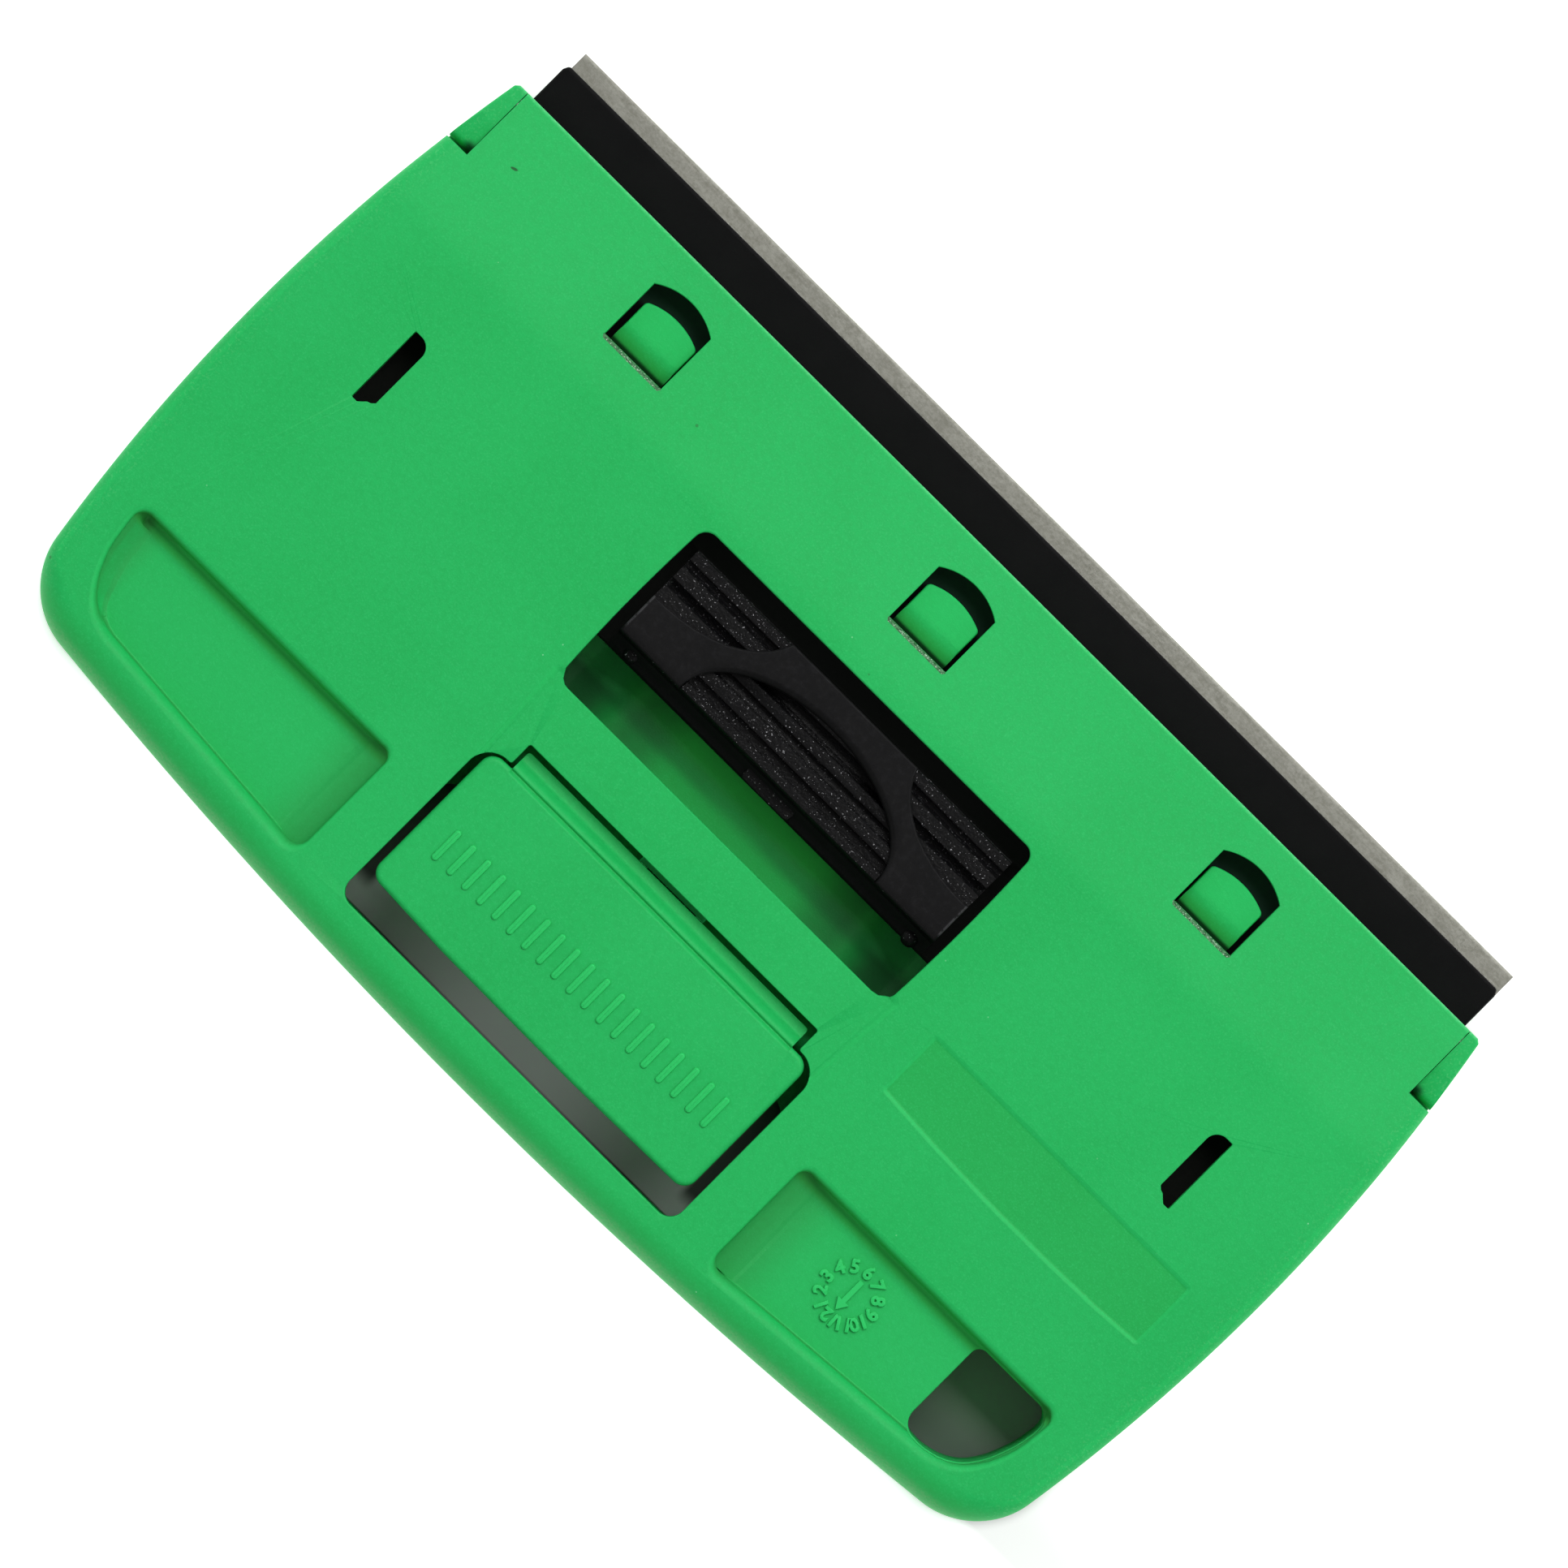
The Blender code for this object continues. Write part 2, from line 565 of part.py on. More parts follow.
# ---------------------------------------------------------------- blade
blade = slab(
    "blade",
    [(BLADE_OFF - BLADE_X, BLADE_Y0), (BLADE_OFF + BLADE_X, BLADE_Y0),
     (BLADE_OFF + BLADE_X, BLADE_Y1), (BLADE_OFF - BLADE_X, BLADE_Y1)],
    BLADE_Z0, BLADE_Z1, collection=PARTS,
)
cut(
    blade,
    along_x(
        "edge_grind",
        [(BLADE_Y1 - 1.3, BLADE_Z0), (BLADE_Y1 - 1.3, BLADE_Z0 - 1), (BLADE_Y1 + 1, BLADE_Z0 - 1),
         (BLADE_Y1 + 1, BLADE_Z1 - 0.06 + 0.25), (BLADE_Y1, BLADE_Z1 - 0.06)],
        -60, 60,
    ),
)
for n, x in enumerate(PEG_X):
    cut(blade, rod(f"blade_hole_{n}", BLADE_HOLE_R, (x, PEG_Y, 3.0), (x, PEG_Y, 6.0)))
finish_part(blade, BLADE_STEEL, pivot=(BLADE_OFF, 18, 4.25))

# ---------------------------------------------------------------- thumb pad
# Side profile with ribs; the rear shoulder stays low so that it can pass under the shell.
pad_profile = [(PAD_Y0, PAD_Z0), (10.25, PAD_Z0), (10.25, 9.9)]
for crest, below in ((9.87, 0.55), (8.2, 0.65), (6.44, 1.0), (4.4, 0.55), (3.15, 0.0)):
    pad_profile += [(crest + 0.3, RIB_TOP_Z), (crest - 0.3, RIB_TOP_Z), (crest - 0.45, RIB_TOP_Z - 0.6)]
    if below:
        pad_profile.append((crest - 0.45 - below, RIB_TOP_Z - 0.6))
pad_profile += [(2.6, RIB_TOP_Z), (2.15, RIB_TOP_Z), (1.92, 8.7), (PAD_Y0, 7.9)]
pad = along_x("thumb_pad", pad_profile, -PAD_X, PAD_X, collection=PARTS)
band_outer = [(-16.85, 5.8), (-12.7, 6.1), (-10.1, 7.0), (-8.2, 8.3), (-7.1, 9.5), (-6.6, 10.6)]
band = band_outer + mirrored(band_outer)
inner = []
for k in range(13):
    turn = math.pi * k / 12
    inner.append((10.6 * math.cos(turn), 2.2 + 5.6 * math.sin(turn)))
band_outline = band + [(16.85, 2.15)] + inner + [(-16.85, 2.15)]
arch = slab("pad_arch", band_outline, 9.0, PAD_TOP_Z)
join(pad, arch)
for side in (-1, 1):
    join(pad, rod(f"pad_peg_{side:+d}", PAD_PEG_R, (side * PAD_PEG_X, PAD_PEG_Y, 5.0), (side * PAD_PEG_X, PAD_PEG_Y, 7.6)))
finish_part(pad, BLACK, pivot=(0, 5.6, 7.0))

# ---------------------------------------------------------------- release flap
flap_outline = rounded([
    (FLAP_BAR_X0, FLAP_BAR_Y, 0.0), (FLAP_BAR_X0, FLAP_Y1, 0.0), (FLAP_X0, FLAP_Y1, 1.2),
    (FLAP_X0, FLAP_Y0 + 0.4, 1.2), (0.0, FLAP_Y0, 0.0), (FLAP_X1, FLAP_Y0 + 0.2, 1.2),
    (FLAP_X1, FLAP_Y1, 1.2), (FLAP_BAR_X1, FLAP_Y1, 0.0), (FLAP_BAR_X1, FLAP_BAR_Y, 0.0),
])
flap = slab("release_flap", flap_outline, FLAP_Z0, FLAP_Z1, top_r=0.4, collection=PARTS)
join(
    flap,
    along_x(
        "flap_bar",
        [(-9.45, 9.6), (-9.45, 8.1), (-8.9, 7.5), (-8.75, 6.9), (-9.1, 6.2), (-9.9, 5.85), (-10.8, 6.1), (-11.25, 6.9), (-11.25, 9.6)],
        FLAP_BAR_X0 + 0.07, FLAP_BAR_X1 - 0.07,
    ),
)
for side in (-1, 1):
    xs = sorted((side * 7.0, side * 12.0))
    join(
        flap,
        along_x(
            f"flap_hook_{side:+d}",
            [(-8.8, 6.6), (-10.0, 6.6), (-10.0, 3.5), (-11.0, 3.5), (-11.0, 2.9), (-10.4, 2.4), (-8.8, 2.4)],
            *xs,
        ),
    )
cut(flap, box("spring_bay", -3.4, 3.4, -11.9, -7.0, 4.0, 9.25))
cut(flap, rod("flap_pivot_hole", PIVOT_HOLE_R, (-19, PIVOT_Y, PIVOT_Z), (19, PIVOT_Y, PIVOT_Z)))
# the flap's front edge stays lower, over the bar
cut(
    flap,
    along_x(
        "bar_step",
        [(-9.0, 12.0), (-9.0, 9.6), (-10.2, 9.65), (-10.85, 10.5), (-11.42, 10.6), (-11.5, 10.8), (-11.5, 12.0)],
        -18.0, 18.0,
    ),
)
# stiffening ribs under the flap
for x in (-15.2, 15.2):
    join(flap, along_x(f"flap_rib_{x:+.0f}", [(-11.6, 9.4), (-11.6, 8.2), (-22.5, 8.2), (-24.0, 9.4)], x - 0.6, x + 0.6))
finish_part(flap, GREEN, pivot=(0, PIVOT_Y, PIVOT_Z))

pin = rod("flap_pin", PIVOT_PIN_R, (-PIN_HALF, PIVOT_Y, PIVOT_Z), (PIN_HALF, PIVOT_Y, PIVOT_Z), collection=PARTS)
finish_part(pin, PIN_STEEL, pivot=(0, PIVOT_Y, PIVOT_Z))

# ---------------------------------------------------------------- flap spring
# One wire: a leg under the flap, turns round the pin, and a leg towards the front.
path = [(-2.4, -15.6, 8.62), (-2.4, -13.4, 8.6), (-2.4, -11.6, 8.42), (-2.4, -10.6, 8.15)]
turns, steps = 7.0, 12
for k in range(int(turns * steps) + 1):
    share = k / (turns * steps)
    turn = math.radians(90) - 2 * math.pi * k / steps
    path.append((-2.4 + 4.8 * share, PIVOT_Y + SPRING_R * math.cos(turn), PIVOT_Z + SPRING_R * math.sin(turn)))
path += [(2.4, -9.2, 8.05), (2.4, -8.2, 7.85), (2.4, -6.6, 7.5)]
curve = bpy.data.curves.new("flap_spring", "CURVE")
curve.dimensions = "3D"
curve.bevel_depth = SPRING_WIRE_R * MM
curve.bevel_resolution = 2
curve.use_fill_caps = True
spline = curve.splines.new("POLY")
spline.points.add(len(path) - 1)
for point, place in zip(spline.points, path):
    point.co = (
        place[0] * MM, (place[1] - PIVOT_Y) * MM, (place[2] - PIVOT_Z) * MM, 1.0,
    )
spring = add_object("flap_spring", curve, PARTS)
spring.location = (0, PIVOT_Y * MM, PIVOT_Z * MM)
curve.materials.append(PIN_STEEL)
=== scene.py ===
"""Looks of the hand scraper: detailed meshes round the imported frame, their
procedural finishes, a pale floor, soft studio light and the camera.

Sizes are in millimetres times MM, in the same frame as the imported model:
+Y towards the cutting edge, +X to the right seen from above, +Z up.
"""

import json
import math

import bmesh
import bpy
import numpy as np
from mathutils import Matrix, Vector

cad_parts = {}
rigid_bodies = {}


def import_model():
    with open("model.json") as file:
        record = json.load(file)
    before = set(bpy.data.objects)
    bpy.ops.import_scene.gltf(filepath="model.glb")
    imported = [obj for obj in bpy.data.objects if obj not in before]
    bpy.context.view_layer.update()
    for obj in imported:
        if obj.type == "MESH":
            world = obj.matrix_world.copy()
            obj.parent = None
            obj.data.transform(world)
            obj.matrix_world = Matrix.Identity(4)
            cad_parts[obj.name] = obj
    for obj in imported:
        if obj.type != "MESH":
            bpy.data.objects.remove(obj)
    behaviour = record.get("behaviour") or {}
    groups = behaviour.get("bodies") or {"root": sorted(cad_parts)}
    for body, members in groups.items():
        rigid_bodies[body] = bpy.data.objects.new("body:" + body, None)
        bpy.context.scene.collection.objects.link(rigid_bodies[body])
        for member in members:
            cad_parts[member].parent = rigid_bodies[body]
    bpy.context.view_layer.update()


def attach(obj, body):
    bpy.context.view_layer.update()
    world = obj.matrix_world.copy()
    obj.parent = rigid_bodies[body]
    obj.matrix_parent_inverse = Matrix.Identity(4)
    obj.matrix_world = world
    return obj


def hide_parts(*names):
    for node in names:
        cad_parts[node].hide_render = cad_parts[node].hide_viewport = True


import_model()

MM = 0.001

# ---------------------------------------------------------------- dimensions
HALF_W, SIDE_R = 54.05, 150.0
REAR_Y, REAR_R, CORNER_R = -31.3, 450.0, 6.7
FRONT_Y = 26.05
SPLIT_LOW, SPLIT_TOP = 5.2, 5.5
TOP_Z, CREASE_Y, CREASE_W = 11.0, 13.64, 0.9
FRONT_TOP_Z, FRONT_LOW_Z = 9.7, 1.6
CEILING_Z, LIP_CEILING_Z = 8.7, 7.05
FLOOR_Z, MOUTH_FLOOR_Z = 1.8, 3.7
WALL = 2.2
MOUTH_X, EAR_X, EAR_Y, COVER_X = 50.5, 50.68, 19.62, 50.62
LAND_X, LAND_Y0, LAND_Y1, LAND_Z = 14.8, -4.6, 6.5, 4.3
HINGE_Y, HINGE_Z = 24.8, 8.3
SIDE_ROUND, REAR_ROUND = 1.1, 2.4
POCKET_Z, POCKET_BACK_Z = 9.2, 8.1
STRIP_X, STRIP_Z = 18.0, 10.78
THUMB_Y0, THUMB_Y1, THUMB_BOW = -3.96, 12.22, 0.2
TONGUE_X = (-30.57, 0.0, 30.6)
TONGUE_SHIFT = (0.2, 0.0, -0.1)
BLADE_X, BLADE_OFF = 50.05, 0.2
BLADE_Y0, BLADE_Y1, BLADE_Z0, BLADE_Z1 = 13.3, 31.4, 4.0, 4.5
PEG_X, PEG_Y = (-32.0, 0.0, 32.0), 17.5
FINGER_X, FINGER_W, FINGER_Y = 43.0, 2.6, -1.2
PAD_X, PAD_Y0, PAD_Y1, PAD_Z0, PAD_TOP_Z = 16.9, 0.53, 10.6, 7.0, 10.9
FLAP_X0, FLAP_X1, FLAP_Y0, FLAP_Y1 = -17.27, 16.87, -24.97, -11.3
FLAP_BAR_X0, FLAP_BAR_X1, FLAP_BAR_Y, FLAP_Z0, FLAP_Z1 = -15.17, 14.85, -9.44, 9.0, 10.8
PIVOT_Y, PIVOT_Z = -10.0, 7.1

TOOLS = bpy.data.collections.new("shaping_tools")
bpy.context.scene.collection.children.link(TOOLS)


# ---------------------------------------------------------------- outlines
def rounded(corners, arc_deg=7.5):
    """A closed outline from (x, y, radius) corners, each corner replaced by an arc."""
    points = []
    count = len(corners)
    for i, (x, y, radius) in enumerate(corners):
        here = Vector((x, y))
        before = Vector(corners[i - 1][:2]) - here
        after = Vector(corners[(i + 1) % count][:2]) - here
        if radius <= 0:
            points.append((x, y))
            continue
        before.normalize()
        after.normalize()
        half = before.angle(after) / 2
        reach = radius / math.tan(half)
        centre = here + (before + after).normalized() * (radius / math.sin(half))
        first = here + before * reach - centre
        last = here + after * reach - centre
        sweep = math.atan2(first.x * last.y - first.y * last.x, first.dot(last))
        steps = max(2, round(abs(math.degrees(sweep)) / arc_deg))
        for k in range(steps + 1):
            turn = sweep * k / steps
            c, s = math.cos(turn), math.sin(turn)
            points.append((centre.x + first.x * c - first.y * s, centre.y + first.x * s + first.y * c))
    return points


def mirrored(outline):
    return [(-x, y) for x, y in reversed(outline)]


def side_x(y, inset=0.0):
    return HALF_W - SIDE_R + math.sqrt((SIDE_R - inset) ** 2 - y * y)


def corner_centre():
    """Centre of the rear corner's arc, tangent to the side's and the rear's bows."""
    low, high = -30.0, -10.0
    for _ in range(60):
        y = (low + high) / 2
        x = HALF_W - SIDE_R + math.sqrt((SIDE_R - CORNER_R) ** 2 - y * y)
        if math.hypot(x, y - REAR_Y - REAR_R) > REAR_R - CORNER_R:
            low = y
        else:
            high = y
    return x, y


CREASE_ROWS = [CREASE_Y + CREASE_W * k for k in (1.0, 0.5, 0.0, -0.5, -1.0)]


def body_outline(inset=0.0, front=FRONT_Y, chamfer=0.5):
    """The shells' outline from above, counterclockwise, symmetric, moved inwards by inset."""
    cx, cy = corner_centre()
    radius = CORNER_R - inset
    to_side = math.atan2(cy, cx - (HALF_W - SIDE_R))
    to_rear = math.atan2(cy - REAR_Y - REAR_R, cx)
    side_low = cy + radius * math.sin(to_side)
    half = []
    if chamfer:
        half.append((side_x(front, inset) - chamfer, front))
    start = front - chamfer
    rows = [start + (15.2 - start) * k / 8 for k in range(9)]
    rows += [y * SIDE_R / (SIDE_R - SIDE_ROUND) for y in CREASE_ROWS]
    rows += [12.0 + (side_low - 12.0) * k / 24 for k in range(24)]
    for y in rows:
        half.append((side_x(y, inset), y))
    for k in range(21):
        turn = to_side + (to_rear - to_side) * k / 20
        half.append((cx + radius * math.cos(turn), cy + radius * math.sin(turn)))
    for k in range(1, 14):
        turn = to_rear + (-math.pi / 2 - to_rear) * k / 14
        half.append(
            ((REAR_R - inset) * math.cos(turn), REAR_Y + REAR_R + (REAR_R - inset) * math.sin(turn))
        )
    # from the middle of the rear edge up the right side, and down the left side
    return [(0.0, REAR_Y + inset)] + half[::-1] + [(-x, y) for x, y in half]


def arc_front(x, y_rear, shoulder, apex, half_x, steps=24):
    """A D outline: straight rear and sides, bowed front."""
    rise = apex - shoulder
    radius = (half_x**2 + rise**2) / (2 * rise)
    top = apex - radius
    span = math.asin(half_x / radius)
    points = [(x - half_x, y_rear), (x + half_x, y_rear)]
    for k in range(steps + 1):
        turn = span - 2 * span * k / steps
        points.append((x + radius * math.sin(turn), top + radius * math.cos(turn)))
    return points


HANG_HOLE = rounded([
    (41.0, -17.3, 0.8), (48.55, -17.3, 1.3), (48.72, -18.9, 3.0), (48.4, -20.7, 6.0),
    (47.6, -22.9, 6.0), (46.4, -24.7, 4.0), (44.8, -25.55, 4.0), (43.3, -25.85, 3.0),
    (41.0, -25.75, 1.4),
])
HANG_WALL = rounded([
    (39.7, -16.0, 1.6), (49.9, -16.0, 2.2), (50.0, -19.0, 0.0), (49.6, -21.3, 5.0),
    (48.7, -23.7, 5.0), (47.1, -25.9, 3.5), (45.0, -26.9, 3.0), (43.3, -27.2, 0.0),
    (39.7, -27.0, 2.6),
])
LEFT_POCKET = rounded([
    (-49.2, -17.0, 0.95), (-49.12, -18.4, 0.0), (-48.75, -21.0, 6.0), (-47.7, -23.3, 5.5),
    (-46.4, -24.8, 4.2), (-44.7, -25.5, 5.0), (-22.35, -27.2, 1.15), (-22.35, -17.0, 0.9),
])
RIGHT_POCKET = rounded([
    (21.95, -17.05, 0.9), (21.95, -27.42, 1.15), (44.4, -25.6, 5.0),
    (46.4, -24.8, 4.2), (47.7, -23.1, 5.0), (48.6, -21.0, 6.0), (48.92, -18.4, 0.0),
    (48.95, -17.05, 0.95),
])


# ---------------------------------------------------------------- mesh helpers
def top_height(xy):
    """Height of the upper shell's back over points (mm), with a soft crease."""
    slope = (TOP_Z - FRONT_TOP_Z) / (FRONT_Y - CREASE_Y)
    past = np.asarray(xy, float)[:, 1] - CREASE_Y
    bent = slope * (past + CREASE_W) ** 2 / (4 * CREASE_W)
    return TOP_Z - np.where(past <= -CREASE_W, 0.0, np.where(past >= CREASE_W, slope * past, bent))


def outward(base):
    """At each point of a counterclockwise loop, the move that shifts both its sides out by one."""
    ahead = np.roll(base, -1, axis=0) - base
    ahead /= np.linalg.norm(ahead, axis=1)[:, None]
    normal = np.stack([ahead[:, 1], -ahead[:, 0]], axis=1)
    before = np.roll(normal, 1, axis=0)
    both = normal + before
    return both / (1 + np.sum(normal * before, axis=1))[:, None]


def put(name, mesh, collection=None):
    made = bpy.data.objects.new(name, mesh)
    (collection or TOOLS).objects.link(made)
    return made


def mesh_of(name, points, faces):
    mesh = bpy.data.meshes.new(name)
    mesh.from_pydata([tuple(float(c) * MM for c in p) for p in points], [], faces)
    mesh.validate()
    return mesh


def solid(name, outline, levels, rows=None, warp=None):
    """A closed solid: one outline pushed out and lifted, level by level from below.
    A push or height is a number or a function. rows=(low, high) splits the top face
    at those heights of y and spans the points between them with strips."""
    base = np.array(outline, float)
    x, y = base[:, 0], base[:, 1]
    if np.sum(x * np.roll(y, -1) - np.roll(x, -1) * y) < 0:
        base = base[::-1]
    way = outward(base)
    count = len(base)
    points = []
    for push, height in levels:
        amount = push(base, way) if callable(push) else np.full(count, float(push))
        xy = base + way * amount[:, None]
        z = height(xy) if callable(height) else np.full(count, float(height))
        if warp is not None:
            xy = warp(xy, z)
        points.append(np.column_stack([xy, z]))
    faces = [tuple(range(count))[::-1]]
    for level in range(len(levels) - 1):
        a, b = level * count, (level + 1) * count
        for i in range(count):
            j = (i + 1) % count
            faces.append((a + i, a + j, b + j, b + i))
    last = (len(levels) - 1) * count
    if rows is None:
        faces.append(tuple(last + i for i in range(count)))
    else:
        top = points[-1]
        low, high = rows
        # the loop starts at the middle of the rear edge and is symmetric
        faces.append(tuple(last + i for i in range(count) if top[i][1] <= low + 0.05))
        faces.append(tuple(last + i for i in range(count) if top[i][1] >= high - 0.05))
        right = [i for i in range(count) if top[i][0] > 0 and low - 0.05 <= top[i][1] <= high + 0.05]
        for i, j in zip(right, right[1:]):
            faces.append((last + i, last + j, last + count - j, last + count - i))
    return put(name, mesh_of(name, np.concatenate(points), faces))


def up_round(radius, top, steps=6):
    """Levels of a rounded upper rim: from the wall to the flat top."""
    levels = []
    for k in range(steps + 1):
        turn = math.pi / 2 * k / steps
        levels.append((-radius * (1 - math.cos(turn)), top - radius * (1 - math.sin(turn))))
    return levels


def block(name, outline, low, high, top_r=0.0, low_r=0.0, steps=4):
    """A flat-ended solid with rounded upper and lower rims."""
    levels = []
    if low_r:
        for k in range(steps + 1):
            turn = math.pi / 2 * k / steps
            levels.append((-low_r * (1 - math.sin(turn)), low + low_r * (1 - math.cos(turn))))
    else:
        levels.append((0.0, low))
    if top_r:
        levels += up_round(top_r, high, steps)
    else:
        levels.append((0.0, high))
    return solid(name, outline, levels)


def opening(name, outline, low, radius, surface=TOP_Z, steps=5, above=13.0, warp=None):
    """A cutter whose sides flare at the surface, so that the edge it leaves is rounded.
    radius is a number or a function of the loop's points and outward moves."""
    def size(b, w):
        return radius(b, w) if callable(radius) else np.full(len(b), float(radius))

    base = np.array(outline, float)
    x, y = base[:, 0], base[:, 1]
    if np.sum(x * np.roll(y, -1) - np.roll(x, -1) * y) < 0:
        base = base[::-1]
    sizes = size(base, outward(base))
    levels = [(0.0, low)]
    for k in range(steps + 1):
        turn = math.radians(90) * k / steps
        c, s = math.cos(turn), math.sin(turn)

        def height(xy, s=s, k=k):
            level = surface(xy) if callable(surface) else np.full(len(xy), float(surface))
            return level - sizes + sizes * s + (0.004 if k == steps else 0.0)

        levels.append((lambda b, w, c=c: size(b, w) * (1 - c), height))
    levels.append((size, above))
    return solid(name, base, levels, warp=warp)


def dish(name, outline, low, width, surface=TOP_Z, steps=10):
    """A cutter for a shallow recess whose border rises in a soft curve."""
    levels = []
    for k in range(steps + 1):
        share = k / steps
        rise = share * share * (3 - 2 * share)
        levels.append((width * (share - 0.5), low + (surface - low) * rise + (0.004 if k == steps else 0.0)))
    levels.append((width * 0.5, 13.0))
    return solid(name, outline, levels)


def capped(name, outline, low, top, radius, steps=5):
    """A flat-ended solid whose upper rim's radius is a function of the loop's points."""
    base = np.array(outline, float)
    x, y = base[:, 0], base[:, 1]
    if np.sum(x * np.roll(y, -1) - np.roll(x, -1) * y) < 0:
        base = base[::-1]
    sizes = radius(base)
    levels = [(0.0, low)]
    for k in range(steps + 1):
        turn = math.pi / 2 * k / steps
        levels.append((
            lambda b, w, c=math.cos(turn): -sizes * (1 - c),
            lambda xy, s=math.sin(turn): top - sizes * (1 - s),
        ))
    return solid(name, base, levels)


def along_x(name, profile, x0, x1):
    """A profile in the YZ plane, drawn from x0 to x1 (mm)."""
    made = solid(name, profile, [(0.0, x0), (0.0, x1)])
    # local x, y, z become world y, z, x
    made.data.transform(Matrix(((0, 0, 1, 0), (1, 0, 0, 0), (0, 1, 0, 0), (0, 0, 0, 1))))
    return made


def box(name, x0, x1, y0, y1, z0, z1):
    return solid(name, [(x0, y0), (x1, y0), (x1, y1), (x0, y1)], [(0.0, z0), (0.0, z1)])


def turned(name, start, end, stations, sides=40):
    """A turned bar between two points: stations are (share of its length in mm, radius)."""
    a, b = Vector(start), Vector(end)
    axis = (b - a).normalized()
    turn = Vector((0, 0, 1)).rotation_difference(axis).to_matrix()
    points = []
    for along, radius in stations:
        for k in range(sides):
            angle = 2 * math.pi * k / sides
            spot = turn @ Vector((radius * math.cos(angle), radius * math.sin(angle), 0))
            points.append(a + axis * along + spot)
    faces = [tuple(range(sides))[::-1]]
    for level in range(len(stations) - 1):
        for i in range(sides):
            j = (i + 1) % sides
            faces.append((level * sides + i, level * sides + j, (level + 1) * sides + j, (level + 1) * sides + i))
    faces.append(tuple((len(stations) - 1) * sides + k for k in range(sides)))
    return put(name, mesh_of(name, points, faces))


def rod(name, radius, start, end, sides=40):
    length = (Vector(end) - Vector(start)).length
    return turned(name, start, end, [(0.0, radius), (length, radius)], sides)


def soften(piece, width, segments=2, angle=35):
    """Rounds every edge of a simple solid that turns by more than the angle."""
    modifier = piece.modifiers.new("soften", "BEVEL")
    modifier.width = width * MM
    modifier.segments = segments
    modifier.limit_method = "ANGLE"
    modifier.angle_limit = math.radians(angle)
    return settle(piece)


def settle(piece):
    """Replaces a piece's mesh by what its modifiers make of it."""
    bpy.context.view_layer.update()
    graph = bpy.context.evaluated_depsgraph_get()
    made = bpy.data.meshes.new_from_object(piece.evaluated_get(graph))
    old = piece.data
    piece.modifiers.clear()
    piece.data = made
    made.name = piece.name
    bpy.data.meshes.remove(old)
    return piece


def shape(piece, operation, *tools):
    """Cuts, joins or keeps what tools share with a piece, and drops the tools."""
    for tool in tools:
        modifier = piece.modifiers.new("shape", "BOOLEAN")
        modifier.operation = operation
        modifier.object = tool
        modifier.solver = "EXACT"
    settle(piece)
    for tool in tools:
        mesh = tool.data
        bpy.data.objects.remove(tool, do_unlink=True)
        bpy.data.meshes.remove(mesh)
    return piece


def cut(piece, *tools):
    return shape(piece, "DIFFERENCE", *tools)


def join(piece, *tools):
    return shape(piece, "UNION", *tools)


def finished(piece, looks, body, nodes=(), smooth=32.0):
    """Tidies a piece's mesh, shades it, gives it its finish and hangs it on its body."""
    if piece.type == "MESH":
        work = bmesh.new()
        work.from_mesh(piece.data)
        bmesh.ops.triangulate(work, faces=[face for face in work.faces if len(face.verts) > 4], ngon_method="EAR_CLIP")
        bmesh.ops.remove_doubles(work, verts=work.verts, dist=1e-6)
        bmesh.ops.dissolve_degenerate(work, edges=work.edges, dist=1e-6)
        bmesh.ops.recalc_face_normals(work, faces=work.faces)
        work.to_mesh(piece.data)
        work.free()
        piece.data.materials.clear()
        for look in looks:
            piece.data.materials.append(look)
        piece.data.shade_smooth()
        piece.data.set_sharp_from_angle(angle=math.radians(smooth))
        weighted = piece.modifiers.new("even_normals", "WEIGHTED_NORMAL")
        weighted.keep_sharp = True
        weighted.weight = 50
        weighted.mode = "FACE_AREA_WITH_ANGLE"
    else:
        piece.data.materials.clear()
        for look in looks:
            piece.data.materials.append(look)
    for collection in list(piece.users_collection):
        collection.objects.unlink(piece)
    bpy.context.scene.collection.objects.link(piece)
    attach(piece, body)
    if nodes:
        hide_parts(*nodes)
    return piece


